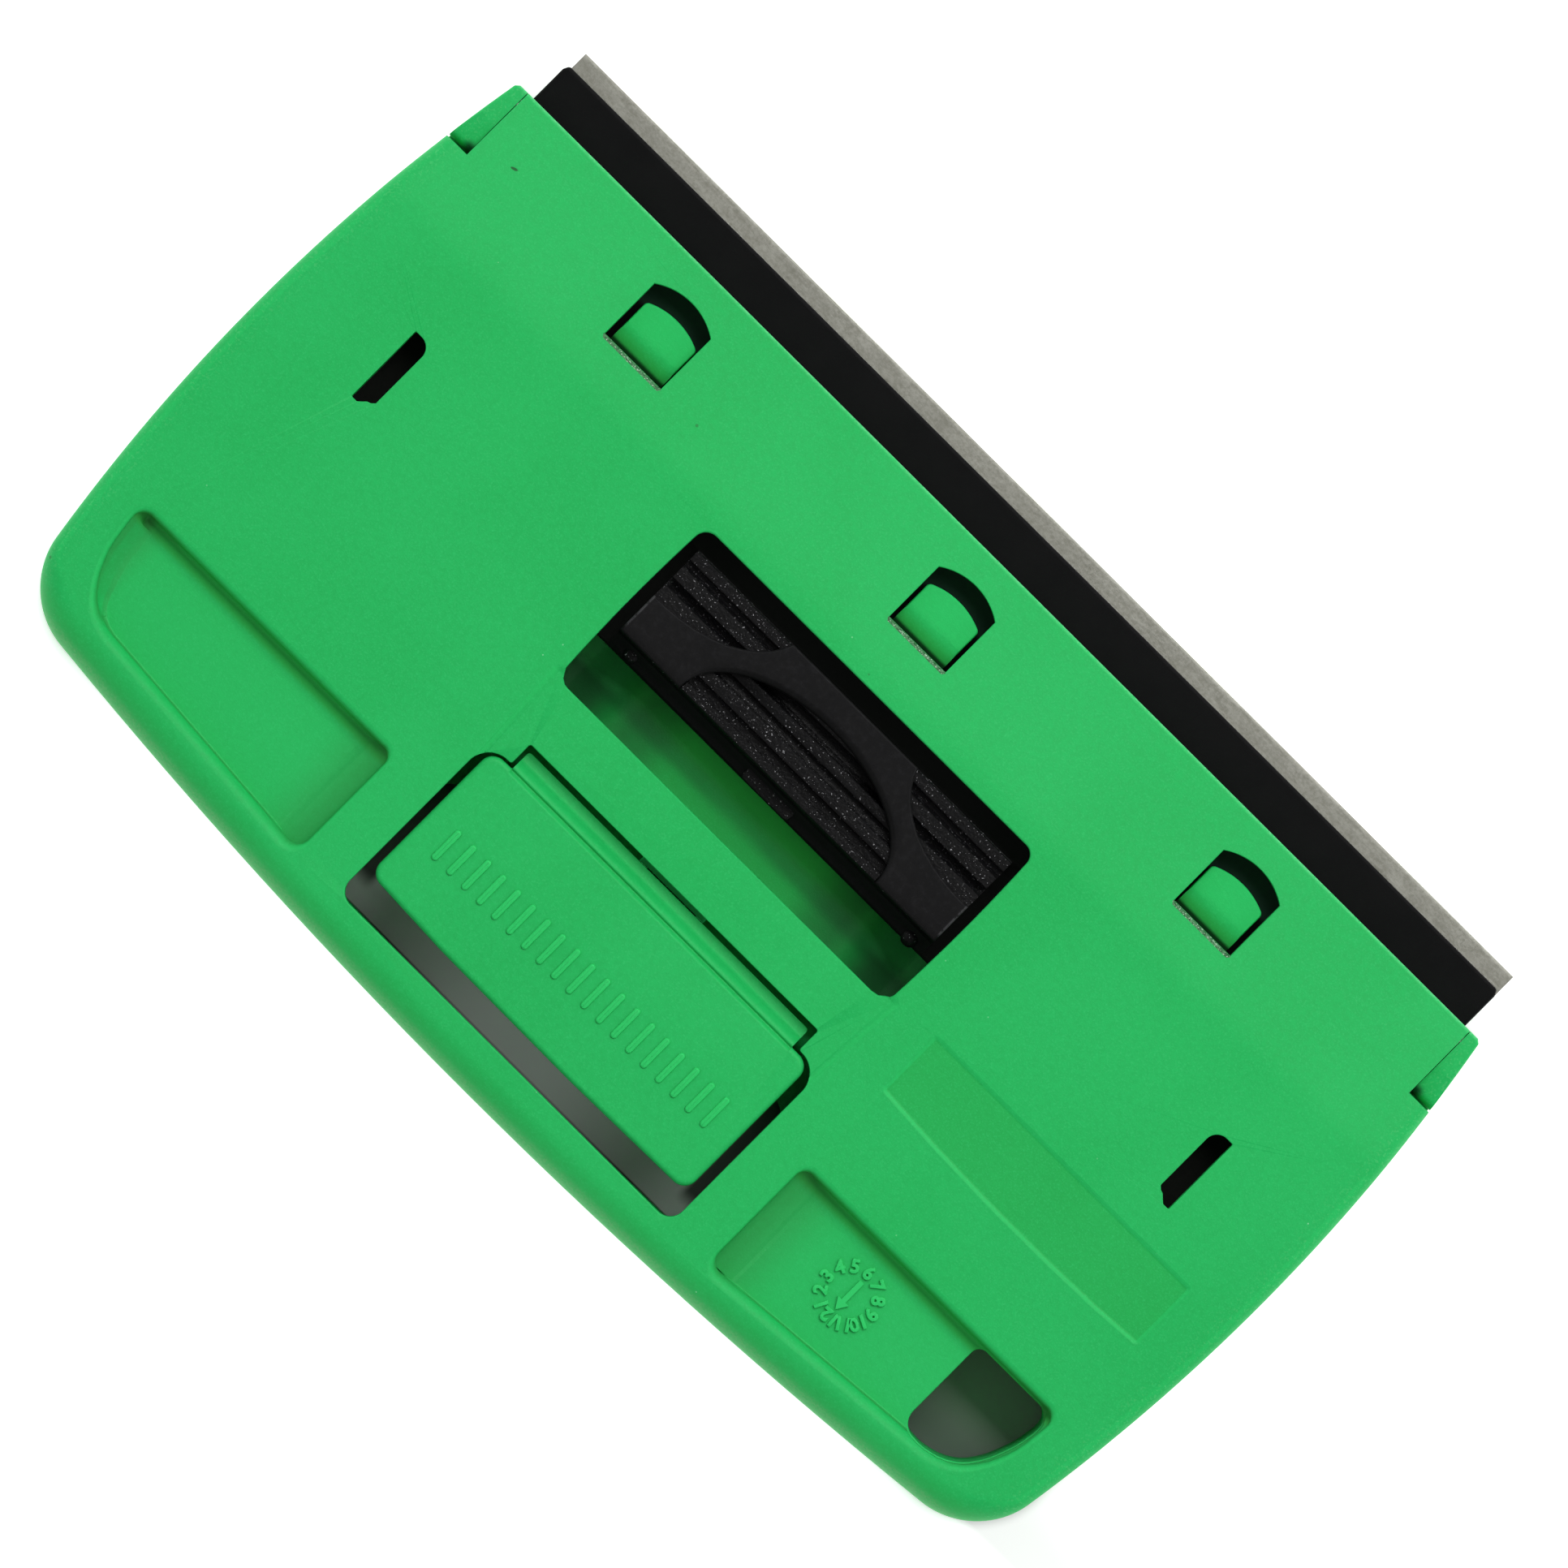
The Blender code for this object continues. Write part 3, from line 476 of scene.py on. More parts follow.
# ---------------------------------------------------------------- finishes
class Finish:
    """A Principled material and short calls for the nodes that feed it."""

    def __init__(self, name):
        self.material = bpy.data.materials.new(name)
        self.material.use_nodes = True
        self.tree = self.material.node_tree
        self.shader = self.tree.nodes["Principled BSDF"]
        self.place = self.tree.nodes.new("ShaderNodeTexCoord").outputs["Object"]

    def new(self, kind, **values):
        node = self.tree.nodes.new(kind)
        for key, value in values.items():
            setattr(node, key, value)
        return node

    def feed(self, socket, value):
        if isinstance(value, bpy.types.NodeSocket):
            self.tree.links.new(value, socket)
        else:
            socket.default_value = value

    def math(self, operation, a, b=0.0, clamp=False):
        node = self.new("ShaderNodeMath", operation=operation, use_clamp=clamp)
        self.feed(node.inputs[0], a)
        self.feed(node.inputs[1], b)
        return node.outputs[0]

    def noise(self, size, detail=2.0, roughness=0.5, stretch=None, kind="FBM", shift=None):
        """Noise whose blobs are about size mm across."""
        vector = self.place
        if stretch or shift:
            mapping = self.new("ShaderNodeMapping")
            self.feed(mapping.inputs["Vector"], self.place)
            if stretch:
                mapping.inputs["Scale"].default_value = stretch
            if shift:
                mapping.inputs["Location"].default_value = shift
            vector = mapping.outputs[0]
        node = self.new("ShaderNodeTexNoise", noise_type=kind)
        self.feed(node.inputs["Vector"], vector)
        node.inputs["Scale"].default_value = 1000.0 / size
        node.inputs["Detail"].default_value = detail
        node.inputs["Roughness"].default_value = roughness
        return node.outputs["Fac"]

    def cells(self, size, feature="F1", output="Distance", jitter=1.0):
        node = self.new("ShaderNodeTexVoronoi", feature=feature)
        self.feed(node.inputs["Vector"], self.place)
        node.inputs["Scale"].default_value = 1000.0 / size
        node.inputs["Randomness"].default_value = jitter
        return node.outputs[output]

    def span(self, value, low, high, to_low=0.0, to_high=1.0, smooth=True):
        node = self.new("ShaderNodeMapRange")
        node.interpolation_type = "SMOOTHSTEP" if smooth else "LINEAR"
        self.feed(node.inputs["Value"], value)
        node.inputs["From Min"].default_value = low
        node.inputs["From Max"].default_value = high
        node.inputs["To Min"].default_value = to_low
        node.inputs["To Max"].default_value = to_high
        return node.outputs[0]

    def mix(self, share, a, b, blend="MIX"):
        node = self.new("ShaderNodeMix", data_type="RGBA", blend_type=blend)
        self.feed(node.inputs["Factor"], share)
        for socket, value in ((node.inputs[6], a), (node.inputs[7], b)):
            self.feed(socket, (*value, 1.0) if isinstance(value, tuple) and len(value) == 3 else value)
        return node.outputs[2]

    def axes(self):
        node = self.new("ShaderNodeSeparateXYZ")
        self.feed(node.inputs[0], self.place)
        return [self.math("MULTIPLY", node.outputs[k], 1000.0) for k in range(3)]

    def bump(self, layers):
        """layers are (height socket, depth in mm); each rests on the one before."""
        normal = None
        for height, depth in layers:
            node = self.new("ShaderNodeBump")
            node.inputs["Strength"].default_value = 1.0
            node.inputs["Distance"].default_value = depth * MM
            self.feed(node.inputs["Height"], height)
            if normal is not None:
                self.feed(node.inputs["Normal"], normal)
            normal = node.outputs[0]
        self.feed(self.shader.inputs["Normal"], normal)

    def set(self, **values):
        names = {"base": "Base Color", "rough": "Roughness", "metal": "Metallic", "spec": "Specular IOR Level",
                 "ior": "IOR", "coat": "Coat Weight", "coat_rough": "Coat Roughness"}
        for key, value in values.items():
            if isinstance(value, tuple) and len(value) == 3:
                value = (*value, 1.0)
            self.feed(self.shader.inputs[names[key]], value)
        return self.material


def from_edges(finish):
    """Distances in mm from the long side and from the rear edge of the shells' outline."""
    x, y, z = finish.axes()
    out = finish.math("ADD", finish.math("ABSOLUTE", x), SIDE_R - HALF_W)
    reach = finish.math("SQRT", finish.math("ADD", finish.math("MULTIPLY", out, out), finish.math("MULTIPLY", y, y)))
    side = finish.math("SUBTRACT", SIDE_R, reach)
    back = finish.math("SUBTRACT", y, REAR_Y + REAR_R)
    reach = finish.math("SQRT", finish.math("ADD", finish.math("MULTIPLY", x, x), finish.math("MULTIPLY", back, back)))
    rear = finish.math("SUBTRACT", REAR_R, reach)
    return x, y, z, side, rear


def green_finish(name, fine=False):
    f = Finish(name)
    x, y, z, side, rear = from_edges(f)
    cloud = f.noise(14.0, 2.0, 0.5)
    mottle = f.noise(0.42, 3.0, 0.65)
    grain = f.noise(0.16, 2.0, 0.6)
    specks = f.noise(0.24, 2.0, 0.6, shift=(0.31, 0.17, 0.05))
    if fine:
        colour = f.mix(f.span(cloud, 0.35, 0.65), (0.0105, 0.402, 0.076), (0.0122, 0.420, 0.082))
    else:
        colour = f.mix(f.span(cloud, 0.35, 0.65), (0.0112, 0.460, 0.100), (0.0136, 0.480, 0.109))
    colour = f.mix(f.span(mottle, 0.3, 0.7), f.mix(1.0, colour, (0.90, 0.925, 0.90), "MULTIPLY"), colour)
    colour = f.mix(f.span(grain, 0.50, 0.74, 0.0, 0.36), colour, (0.036, 0.55, 0.160))
    # the recesses: painted light on their floors; painted shade in a band along the front wall's foot, at both ends,
    # along the rear foot and in the front outer corner
    across = f.math("ABSOLUTE", x)
    zone = f.math("MULTIPLY", f.span(across, 20.8, 21.3), f.math("MULTIPLY", f.span(y, -28.8, -28.5), f.span(y, -15.9, -16.2)))
    zone = f.math("MULTIPLY", zone, f.math("MULTIPLY", f.span(z, 8.0, 8.4), f.span(z, 10.95, 10.5)))
    zone = f.math("MULTIPLY", zone, f.math("MULTIPLY", f.span(side, 2.0, 2.6), f.span(rear, 2.4, 3.0)))
    painted_floor_light = f.math("MULTIPLY", zone, f.span(z, 9.5, 9.21))
    colour = f.mix(f.math("MULTIPLY", painted_floor_light, 0.20), colour, (0.030, 0.62, 0.150))
    # painted shadow of the front wall: an olive-dark band on the floor
    band = f.math("MULTIPLY", zone, f.span(y, -18.35, -17.75))
    colour = f.mix(f.math("MULTIPLY", band, 0.42), colour, (0.022, 0.36, 0.0125))
    # painted shade: the rear foot, the inner end, the outer slope and its foot, and the front outer corner
    foot = f.math("MULTIPLY", f.math("MULTIPLY", f.span(across, 24.4, 26.0), f.span(y, -24.5, -25.2)), f.math("MULTIPLY", f.span(z, 9.205, 9.25), f.span(z, 9.9, 9.5)))
    shade = f.math("MAXIMUM", f.math("MULTIPLY", f.span(across, 27.8, 22.4), 0.43), f.math("MULTIPLY", f.span(across, 45.6, 47.6), 0.24))
    shade = f.math("MAXIMUM", shade, f.math("MULTIPLY", foot, 0.46))
    ends = f.span(across, 44.5, 46.0)
    edge = f.math("MULTIPLY", f.math("MULTIPLY", f.span(z, 9.75, 10.25), f.span(z, 10.95, 10.8)), f.math("MULTIPLY", ends, 0.44))
    shade = f.math("MAXIMUM", shade, edge)
    toe = f.math("MULTIPLY", f.math("MULTIPLY", f.span(z, 9.201, 9.23), f.span(z, 9.60, 9.35)), f.math("MULTIPLY", ends, 0.30))
    shade = f.math("MAXIMUM", shade, toe)
    painted_nook_shade = f.math("MULTIPLY", f.span(across, 46.9, 48.0), f.span(y, -18.6, -17.6))
    shade = f.math("MAXIMUM", shade, f.math("MULTIPLY", painted_nook_shade, 0.62))
    colour = f.mix(f.math("MULTIPLY", zone, shade), colour, (0.028, 0.19, 0.034))
    # rims of the plate's openings and recesses: a painted highlight makes them a little lighter
    painted_edge_highlight = f.math("MULTIPLY", f.span(z, 10.80, 10.90), f.span(z, 10.997, 10.97))
    painted_edge_highlight = f.math("MULTIPLY", painted_edge_highlight, f.math("MULTIPLY", f.span(y, 12.7, 12.3), f.span(rear, 3.0, 4.0)))
    colour = f.mix(f.math("MULTIPLY", painted_edge_highlight, 0.18), colour, (0.024, 0.64, 0.145))
    # crests of the grip bars: painted highlight; the flap round their feet: painted shade
    crest = f.math("MULTIPLY", f.span(z, 10.90, 10.97), f.math("MULTIPLY", f.span(y, -20.9, -20.7), f.span(y, -17.0, -17.2)))
    crest = f.math("MULTIPLY", crest, f.span(across, 15.6, 15.3))
    colour = f.mix(f.math("MULTIPLY", crest, 0.45), colour, (0.030, 0.66, 0.150))
    sink = f.math("MULTIPLY", f.span(z, 10.92, 10.84), f.math("MULTIPLY", f.span(y, -20.9, -20.7), f.span(y, -17.0, -17.2)))
    sink = f.math("MULTIPLY", sink, f.math("MULTIPLY", f.span(across, 15.6, 15.3), f.span(z, 10.80, 10.82)))
    colour = f.mix(f.math("MULTIPLY", sink, 0.45), colour, (0.012, 0.26, 0.040))
    # faces of the dial's raised figures, lightened by a painted highlight
    dial_x = f.math("SUBTRACT", across, 31.3)
    dial_y = f.math("ADD", y, 21.6)
    around = f.math("SQRT", f.math("ADD", f.math("MULTIPLY", dial_x, dial_x), f.math("MULTIPLY", dial_y, dial_y)))
    faces = f.math("MULTIPLY", f.span(around, 3.4, 3.3), f.math("MULTIPLY", f.span(z, 9.33, 9.38), f.span(z, 9.60, 9.55)))
    colour = f.mix(f.math("MULTIPLY", faces, 0.55), colour, (0.034, 0.70, 0.165))
    # the floor behind the pad: painted shade for the pad's shadow (olive, a dark belt, dark columns, dark towards its
    # ends) and painted light for the patch lit past it (a lighter strip near the pad, lighter ends)
    low = f.math("MULTIPLY", f.span(z, 5.0, 4.6), f.math("MULTIPLY", f.span(y, -5.9, -4.1), f.span(y, 7.0, 4.0)))
    low = f.math("MULTIPLY", low, f.span(across, 19.4, 17.3))
    colour = f.mix(f.math("MULTIPLY", low, 0.35), colour, (0.016, 0.36, 0.020))
    colour = f.mix(f.math("MULTIPLY", low, f.span(y, -1.9, -0.5, 0.0, 0.55)), colour, (0.040, 0.66, 0.070))
    colour = f.mix(f.math("MULTIPLY", low, f.span(across, 8.0, 13.0, 0.0, 0.44)), colour, (0.006, 0.10, 0.020))
    painted_shadow_belt = f.math("MULTIPLY", f.span(y, -0.5, -1.3), f.span(y, -3.1, -2.0))
    painted_shadow_belt = f.math("MULTIPLY", painted_shadow_belt, f.span(across, 0.0, 5.0, 0.26, 0.40))
    column = f.math("MULTIPLY", f.span(across, 6.2, 9.5, 0.0, 0.40), f.span(across, 12.8, 10.8))
    dim = f.math("MULTIPLY", f.math("SUBTRACT", 1.0, painted_shadow_belt), f.math("SUBTRACT", 1.0, column))
    colour = f.mix(f.math("MULTIPLY", low, f.math("SUBTRACT", 1.0, dim)), colour, (0.003, 0.04, 0.012))
    painted_end_light_and_shade = f.mix(f.span(y, -0.8, -2.3), (0.075, 0.60, 0.160), (0.021, 0.160, 0.044))
    colour = f.mix(f.math("MULTIPLY", low, f.span(across, 12.5, 15.2)), colour, painted_end_light_and_shade)
    # sprung tongues: painted light on their tops, painted shade (olive) where they bend down and a painted dark line of
    # shade at their rear ends
    near = None
    for n, middle in enumerate(TONGUE_X):
        aside = f.math("ABSOLUTE", f.math("SUBTRACT", x, middle + TONGUE_SHIFT[n]))
        one = f.span(aside, 2.95, 2.85)
        near = one if near is None else f.math("MAXIMUM", near, one)
    near = f.math("MULTIPLY", near, f.math("MULTIPLY", f.span(y, 17.0, 17.1), f.span(y, 22.4, 22.2)))
    near = f.math("MULTIPLY", near, f.math("MULTIPLY", f.span(z, 7.5, 7.8), f.span(z, 9.1, 9.0)))
    colour = f.mix(f.math("MULTIPLY", near, f.span(y, 18.4, 19.6, 0.0, 0.40)), colour, (0.020, 0.66, 0.150))
    colour = f.mix(f.math("MULTIPLY", near, f.span(y, 19.0, 17.5, 0.0, 0.34)), colour, (0.060, 0.30, 0.020))
    colour = f.mix(f.math("MULTIPLY", near, f.span(y, 17.72, 17.42, 0.0, 0.92)), colour, (0.002, 0.02, 0.005))
    # the ears' inner rear corners lie in deep shade
    corner = f.math("MULTIPLY", f.span(across, 51.75, 50.95), f.span(y, 20.70, 20.00))
    corner = f.math("MULTIPLY", corner, f.math("MULTIPLY", f.span(across, 50.64, 50.66), f.span(y, 19.55, 19.60)))
    corner = f.math("MULTIPLY", corner, f.math("MULTIPLY", f.span(z, 6.5, 7.0), f.span(z, 9.80, 9.60)))
    colour = f.mix(f.math("MULTIPLY", corner, 0.94), colour, (0.003, 0.030, 0.012))
    # one small dark fleck near the front left corner
    fleck_x = f.math("MULTIPLY", f.math("ADD", x, 47.3), 0.62)
    fleck_y = f.math("MULTIPLY", f.math("SUBTRACT", f.math("SUBTRACT", y, 21.2), f.math("MULTIPLY", f.math("ADD", x, 47.3), 0.25)), 1.5)
    reach = f.math("SQRT", f.math("ADD", f.math("MULTIPLY", fleck_x, fleck_x), f.math("MULTIPLY", fleck_y, fleck_y)))
    fleck = f.math("MULTIPLY", f.span(f.math("ADD", reach, f.math("MULTIPLY", grain, 0.12)), 0.27, 0.19), f.span(z, 9.0, 9.4))
    colour = f.mix(f.math("MULTIPLY", fleck, 0.85), colour, (0.012, 0.060, 0.016))
    # scuffed side edges; the rear edge's rounding darkened by painted shade, with a paler line below it as a painted
    # reflection of the pale floor
    worn = f.math("MULTIPLY", f.span(side, 2.6, 0.2), f.span(specks, 0.56, 0.66))
    colour = f.mix(f.math("MULTIPLY", worn, 0.22), colour, (0.16, 0.60, 0.24))
    rim = f.math("MULTIPLY", f.span(rear, 2.9, 1.2), f.span(z, 5.5, 9.0))
    colour = f.mix(f.math("MULTIPLY", rim, 0.16), colour, (0.040, 0.30, 0.030))
    pale = f.math("MULTIPLY", f.span(rear, 1.1, 0.5), f.span(z, 6.0, 7.4))
    colour = f.mix(f.math("MULTIPLY", pale, f.span(specks, 0.3, 0.7, 0.10, 0.35)), colour, (0.16, 0.44, 0.17))
    # a paler, speckled line along the front edge: partly wear, partly a painted highlight on its rim
    front = f.math("MULTIPLY", f.span(y, 25.78, 26.02), f.span(z, 8.6, 9.4))
    colour = f.mix(f.math("MULTIPLY", front, f.span(specks, 0.35, 0.65, 0.05, 0.5)), colour, (0.15, 0.55, 0.26))
    nicks = f.math("MULTIPLY", f.span(f.cells(2.6), 0.030, 0.018), f.span(f.noise(11.0, 2.0, 0.6), 0.50, 0.60))
    colour = f.mix(f.math("MULTIPLY", nicks, 0.6), colour, (0.26, 0.72, 0.40))
    # rare dark specks
    pits = f.cells(7.5, "F1", "Distance", 1.0)
    colour = f.mix(f.span(pits, 0.022, 0.012, 0.0, 0.6), colour, (0.02, 0.14, 0.03))
    rough = f.math("ADD", f.span(mottle, 0.25, 0.75, 0.50, 0.60), f.math("MULTIPLY", worn, 0.08))
    f.bump([
        (f.noise(2.6, 2.0, 0.5), 0.006),
        (mottle, 0.007),
        (grain, 0.009),
    ])
    return f.set(base=colour, rough=rough, spec=0.22)


def worn_finish(name):
    """Green moulding whitened and grimy along a rubbed edge."""
    f = Finish(name)
    grain = f.noise(0.17, 3.0, 0.7)
    sparks = f.noise(0.13, 2.0, 0.6, shift=(0.2, 0.4, 0.1))
    colour = f.mix(f.span(grain, 0.35, 0.65), (0.018, 0.095, 0.030), (0.085, 0.250, 0.110))
    colour = f.mix(f.span(sparks, 0.58, 0.66, 0.0, 0.9), colour, (0.48, 0.66, 0.50))
    f.bump([(grain, 0.02)])
    return f.set(base=colour, rough=f.span(grain, 0.3, 0.7, 0.5, 0.65), spec=0.2)


def black_finish(name, tone, grain_size, depth, rough_low, rough_high, spec, glints=0.0, deep=False, band=False):
    f = Finish(name)
    blotch = f.noise(3.0, 3.0, 0.6)
    grain = f.noise(grain_size, 3.0, 0.65)
    colour = f.mix(f.span(blotch, 0.3, 0.7), (tone * 0.85, tone * 0.85, tone * 0.92), (tone * 1.15, tone * 1.13, tone * 1.20))
    colour = f.mix(f.span(grain, 0.55, 0.8, 0.0, 0.5), colour, (tone * 2.6, tone * 2.6, tone * 2.8))
    layers = [(blotch, 0.008), (grain, depth)]
    if deep:
        x, y, z = f.axes()
        # painted light where the carrier lies deep under the cover, a painted green reflection under the tongue windows
        # and painted light on the deck before the pad
        colour = f.mix(f.span(y, 15.0, 13.5), colour, (tone * 2.4, tone * 2.6, tone * 2.3))
        under = f.math("MULTIPLY", f.span(y, 20.6, 21.2), f.span(y, 24.4, 24.0))
        colour = f.mix(under, colour, (tone * 4.4, tone * 13.0, tone * 8.0))
        deck = f.math("MULTIPLY", f.span(y, 10.5, 10.8), f.span(y, 15.0, 14.0))
        colour = f.mix(deck, colour, (tone * 5.6, tone * 6.0, tone * 5.4))
    if band:
        x, y, z = f.axes()
        patches = f.noise(0.50, 3.0, 0.70, shift=(0.2, 0.5, 0.1))
        colour = f.mix(f.span(patches, 0.30, 0.70, 0.42, 0.0), colour, (tone * 0.45, tone * 0.45, tone * 0.50))
        colour = f.mix(f.span(patches, 0.50, 0.74, 0.0, 0.55), colour, (tone * 1.9, tone * 1.9, tone * 2.1))
        # painted shade where the arch's inner edge rolls over and along its rear edge
        out_x = f.math("MULTIPLY", x, 1.0 / 10.5)
        out_y = f.math("MULTIPLY", f.math("SUBTRACT", y, 2.3), 1.0 / 5.65)
        reach = f.math("ADD", f.math("MULTIPLY", out_x, out_x), f.math("MULTIPLY", out_y, out_y))
        rolled = f.math("MULTIPLY", f.span(reach, 1.26, 1.0, 0.0, 0.62), f.span(y, 3.6, 6.6))
        rear = f.span(y, 2.95, 2.15, 0.0, 0.62)
        colour = f.mix(f.math("MAXIMUM", rolled, rear), colour, (tone * 0.10, tone * 0.10, tone * 0.10))
        # painted highlight along the pad's side edges
        painted_edge_highlight = f.math("MULTIPLY", f.span(f.math("ABSOLUTE", x), 16.60, 16.74), f.span(patches, 0.32, 0.55))
        painted_edge_highlight = f.math("MULTIPLY", painted_edge_highlight, f.math("MULTIPLY", f.span(y, 2.4, 2.8), f.span(z, 9.5, 9.8)))
        colour = f.mix(f.math("MULTIPLY", painted_edge_highlight, 0.75), colour, (0.060, 0.060, 0.064))
    if glints:
        # painted glints: sparse bright dots in the ribs' colour
        sparks = f.noise(0.17, 2.0, 0.55, shift=(0.11, 0.07, 0.3))
        colour = f.mix(f.span(sparks, 0.655, 0.70, 0.0, 1.0), colour, (0.260, 0.260, 0.270))
        x, y, z = f.axes()
        # painted shade just under the arch's inner rim
        out_x = f.math("MULTIPLY", x, 1.0 / 10.5)
        out_y = f.math("MULTIPLY", f.math("SUBTRACT", y, 2.3), 1.0 / 5.65)
        reach = f.math("ADD", f.math("MULTIPLY", out_x, out_x), f.math("MULTIPLY", out_y, out_y))
        painted_nook_shade = f.math("MULTIPLY", f.span(reach, 0.56, 0.80), f.math("MULTIPLY", f.span(reach, 1.06, 1.03), f.span(y, 4.9, 5.7)))
        colour = f.mix(f.math("MULTIPLY", painted_nook_shade, 0.88), colour, (0.0004, 0.0004, 0.0005))
        layers.append((f.noise(0.24, 1.0, 0.5, shift=(0.31, 0.17, 0.2)), glints))
        layers.append((f.span(sparks, 0.60, 0.70), glints * 0.5))
    f.bump(layers)
    return f.set(base=colour, rough=f.span(grain, 0.3, 0.7, rough_low, rough_high), spec=spec)


def steel_finish(name, colour_low, colour_high, rough_low, rough_high, stretch, depth):
    f = Finish(name)
    lines = f.noise(0.5, 4.0, 0.7, stretch=stretch)
    grain = f.noise(0.22, 2.0, 0.6)
    cloud = f.noise(6.0, 3.0, 0.5)
    both = f.math("ADD", f.math("MULTIPLY", lines, 0.5), f.math("MULTIPLY", grain, 0.5))
    colour = f.mix(f.span(both, 0.3, 0.7), colour_low, colour_high)
    colour = f.mix(f.span(cloud, 0.3, 0.7, 0.0, 0.2), colour, tuple(c * 0.85 for c in colour_low))
    f.bump([(lines, depth), (grain, depth * 0.7)])
    return f.set(base=colour, rough=f.span(both, 0.3, 0.7, rough_low, rough_high), metal=1.0)


GREEN = green_finish("green_plastic_grained")
GREEN_FINE = green_finish("green_plastic_fine", fine=True)
GREEN_WORN = worn_finish("green_plastic_rubbed")
BLACK = black_finish("black_plastic_grained", 0.0036, 0.16, 0.006, 0.52, 0.64, 0.07, deep=True)
BLACK_SMOOTH = black_finish("black_plastic_smooth", 0.0060, 0.13, 0.006, 0.50, 0.58, 0.11, band=True)
BLACK_ROUGH = black_finish("black_plastic_coarse", 0.0042, 0.16, 0.012, 0.32, 0.46, 0.15, glints=0.036)
BLADE_STEEL = steel_finish("blade_steel_satin", (0.265, 0.264, 0.222), (0.385, 0.384, 0.340), 0.36, 0.44, (0.25, 1.0, 1.0), 0.005)
PIN_STEEL = steel_finish("pin_steel_drawn", (0.50, 0.50, 0.50), (0.66, 0.66, 0.65), 0.22, 0.36, (0.08, 1.0, 1.0), 0.003)
SPRING_STEEL = steel_finish("spring_steel_wire", (0.020, 0.020, 0.021), (0.045, 0.045, 0.046), 0.34, 0.50, (1.0, 0.2, 1.0), 0.003)


# ---------------------------------------------------------------- lower shell
def edge_round(b, w):
    """Rim radius of the shells: small along the sides, larger round the rear, least at the front."""
    facing = w / np.linalg.norm(w, axis=1)[:, None]
    share = np.clip((-facing[:, 1] - 0.15) / 0.75, 0, 1)
    share = share * share * (3 - 2 * share)
    radius = SIDE_ROUND + (REAR_ROUND - SIDE_ROUND) * share
    return np.where(b[:, 1] > FRONT_Y - 0.01, 0.3, radius)


OUTLINE = np.array(body_outline(), float)
if np.sum(OUTLINE[:, 0] * np.roll(OUTLINE[:, 1], -1) - np.roll(OUTLINE[:, 0], -1) * OUTLINE[:, 1]) < 0:
    OUTLINE = OUTLINE[::-1]
ROUND = edge_round(OUTLINE, outward(OUTLINE))


def shell_levels_low():
    levels = []
    for k in range(9):
        turn = math.pi / 2 * k / 8
        levels.append((
            lambda b, w, s=math.sin(turn): -ROUND * (1 - s),
            lambda xy, c=math.cos(turn): ROUND * (1 - c),
        ))
    levels += [(0.0, SPLIT_LOW - 0.15), (-0.05, SPLIT_LOW - 0.05), (-0.16, SPLIT_LOW)]
    return levels


bottom = solid("bottom_shell_moulding", OUTLINE, shell_levels_low())
hollow = block("lower_hollow", body_outline(inset=WALL, front=19.0, chamfer=0), FLOOR_Z, 8.0, low_r=0.5)
cut(
    bottom,
    hollow,
    box("lower_mouth", -MOUTH_X, MOUTH_X, 15.0, 30.0, MOUTH_FLOOR_Z, 8.0),
    along_x(
        "under_slope",
        [(CREASE_Y, 0.0), (CREASE_Y, -2.0), (27.0, -2.0),
         (27.0, FRONT_LOW_Z * (27.0 - CREASE_Y) / (FRONT_Y - CREASE_Y))],
        -60, 60,
    ),
)

ear_curve = [(EAR_Y - 1, 12.0), (EAR_Y - 1, 4.6), (EAR_Y, 4.6)]
for k in range(9):
    turn = math.radians(90 * k / 8)
    ear_curve.append((EAR_Y + 0.72 * (1 - math.cos(turn)), 8.50 + 0.94 * math.sin(turn)))
for k in range(1, 7):
    share = k / 6
    ear_curve.append((EAR_Y + 0.72 + (22.75 - EAR_Y - 0.72) * share, 9.44 + 0.32 * share))
ear_curve.append((22.75, 12.0))
for side in (-1, 1):
    ear = block(f"ear_{side:+d}", body_outline(inset=0.02, chamfer=0.28), 2.0, FRONT_TOP_Z + 0.04, top_r=0.30)
    zone = sorted((side * EAR_X, side * 60))
    shape(ear, "INTERSECT", box(f"ear_zone_{side:+d}", *zone, EAR_Y, 30, 1.0, 12))
    cut(ear, along_x(f"ear_back_{side:+d}", ear_curve, -60, 60))
    soften(ear, 0.06, 2, 40)
    join(bottom, ear)
cut(bottom, *[
    rod(f"ear_hole_{side:+d}", 0.7, (side * 50.0, HINGE_Y, HINGE_Z), (side * 58, HINGE_Y, HINGE_Z), 32)
    for side in (-1, 1)
])

rim = block("lower_rim", body_outline(inset=2.5, front=19.0, chamfer=0), 1.0, 6.3, top_r=0.2, steps=2)
cut(
    rim,
    block("rim_inside", body_outline(inset=3.4, front=19.0, chamfer=0), 0.0, 7.0),
    box("rim_front", -60, 60, -8.0, 30, 0.0, 7.5),
    box("rim_gap_at_hang_wall", 39.2, 54, -32, -15.5, SPLIT_LOW, 7.5),
)
rim_link = block("rim_link", body_outline(inset=2.0, front=19.0, chamfer=0), 1.0, 5.0)
cut(
    rim_link,
    block("rim_link_inside", body_outline(inset=3.4, front=19.0, chamfer=0), 0.0, 7.0),
    box("rim_link_front", -60, 60, -8.0, 30, 0.0, 7.5),
)
join(bottom, rim_link, rim)
parts = []
for x in (-46.5, -25.0, 25.0, 46.5):
    parts.append(soften(box(f"rail_{x:+.0f}", x - 0.7, x + 0.7, 7.3, 19.5, 1.2, MOUTH_FLOOR_Z), 0.2))
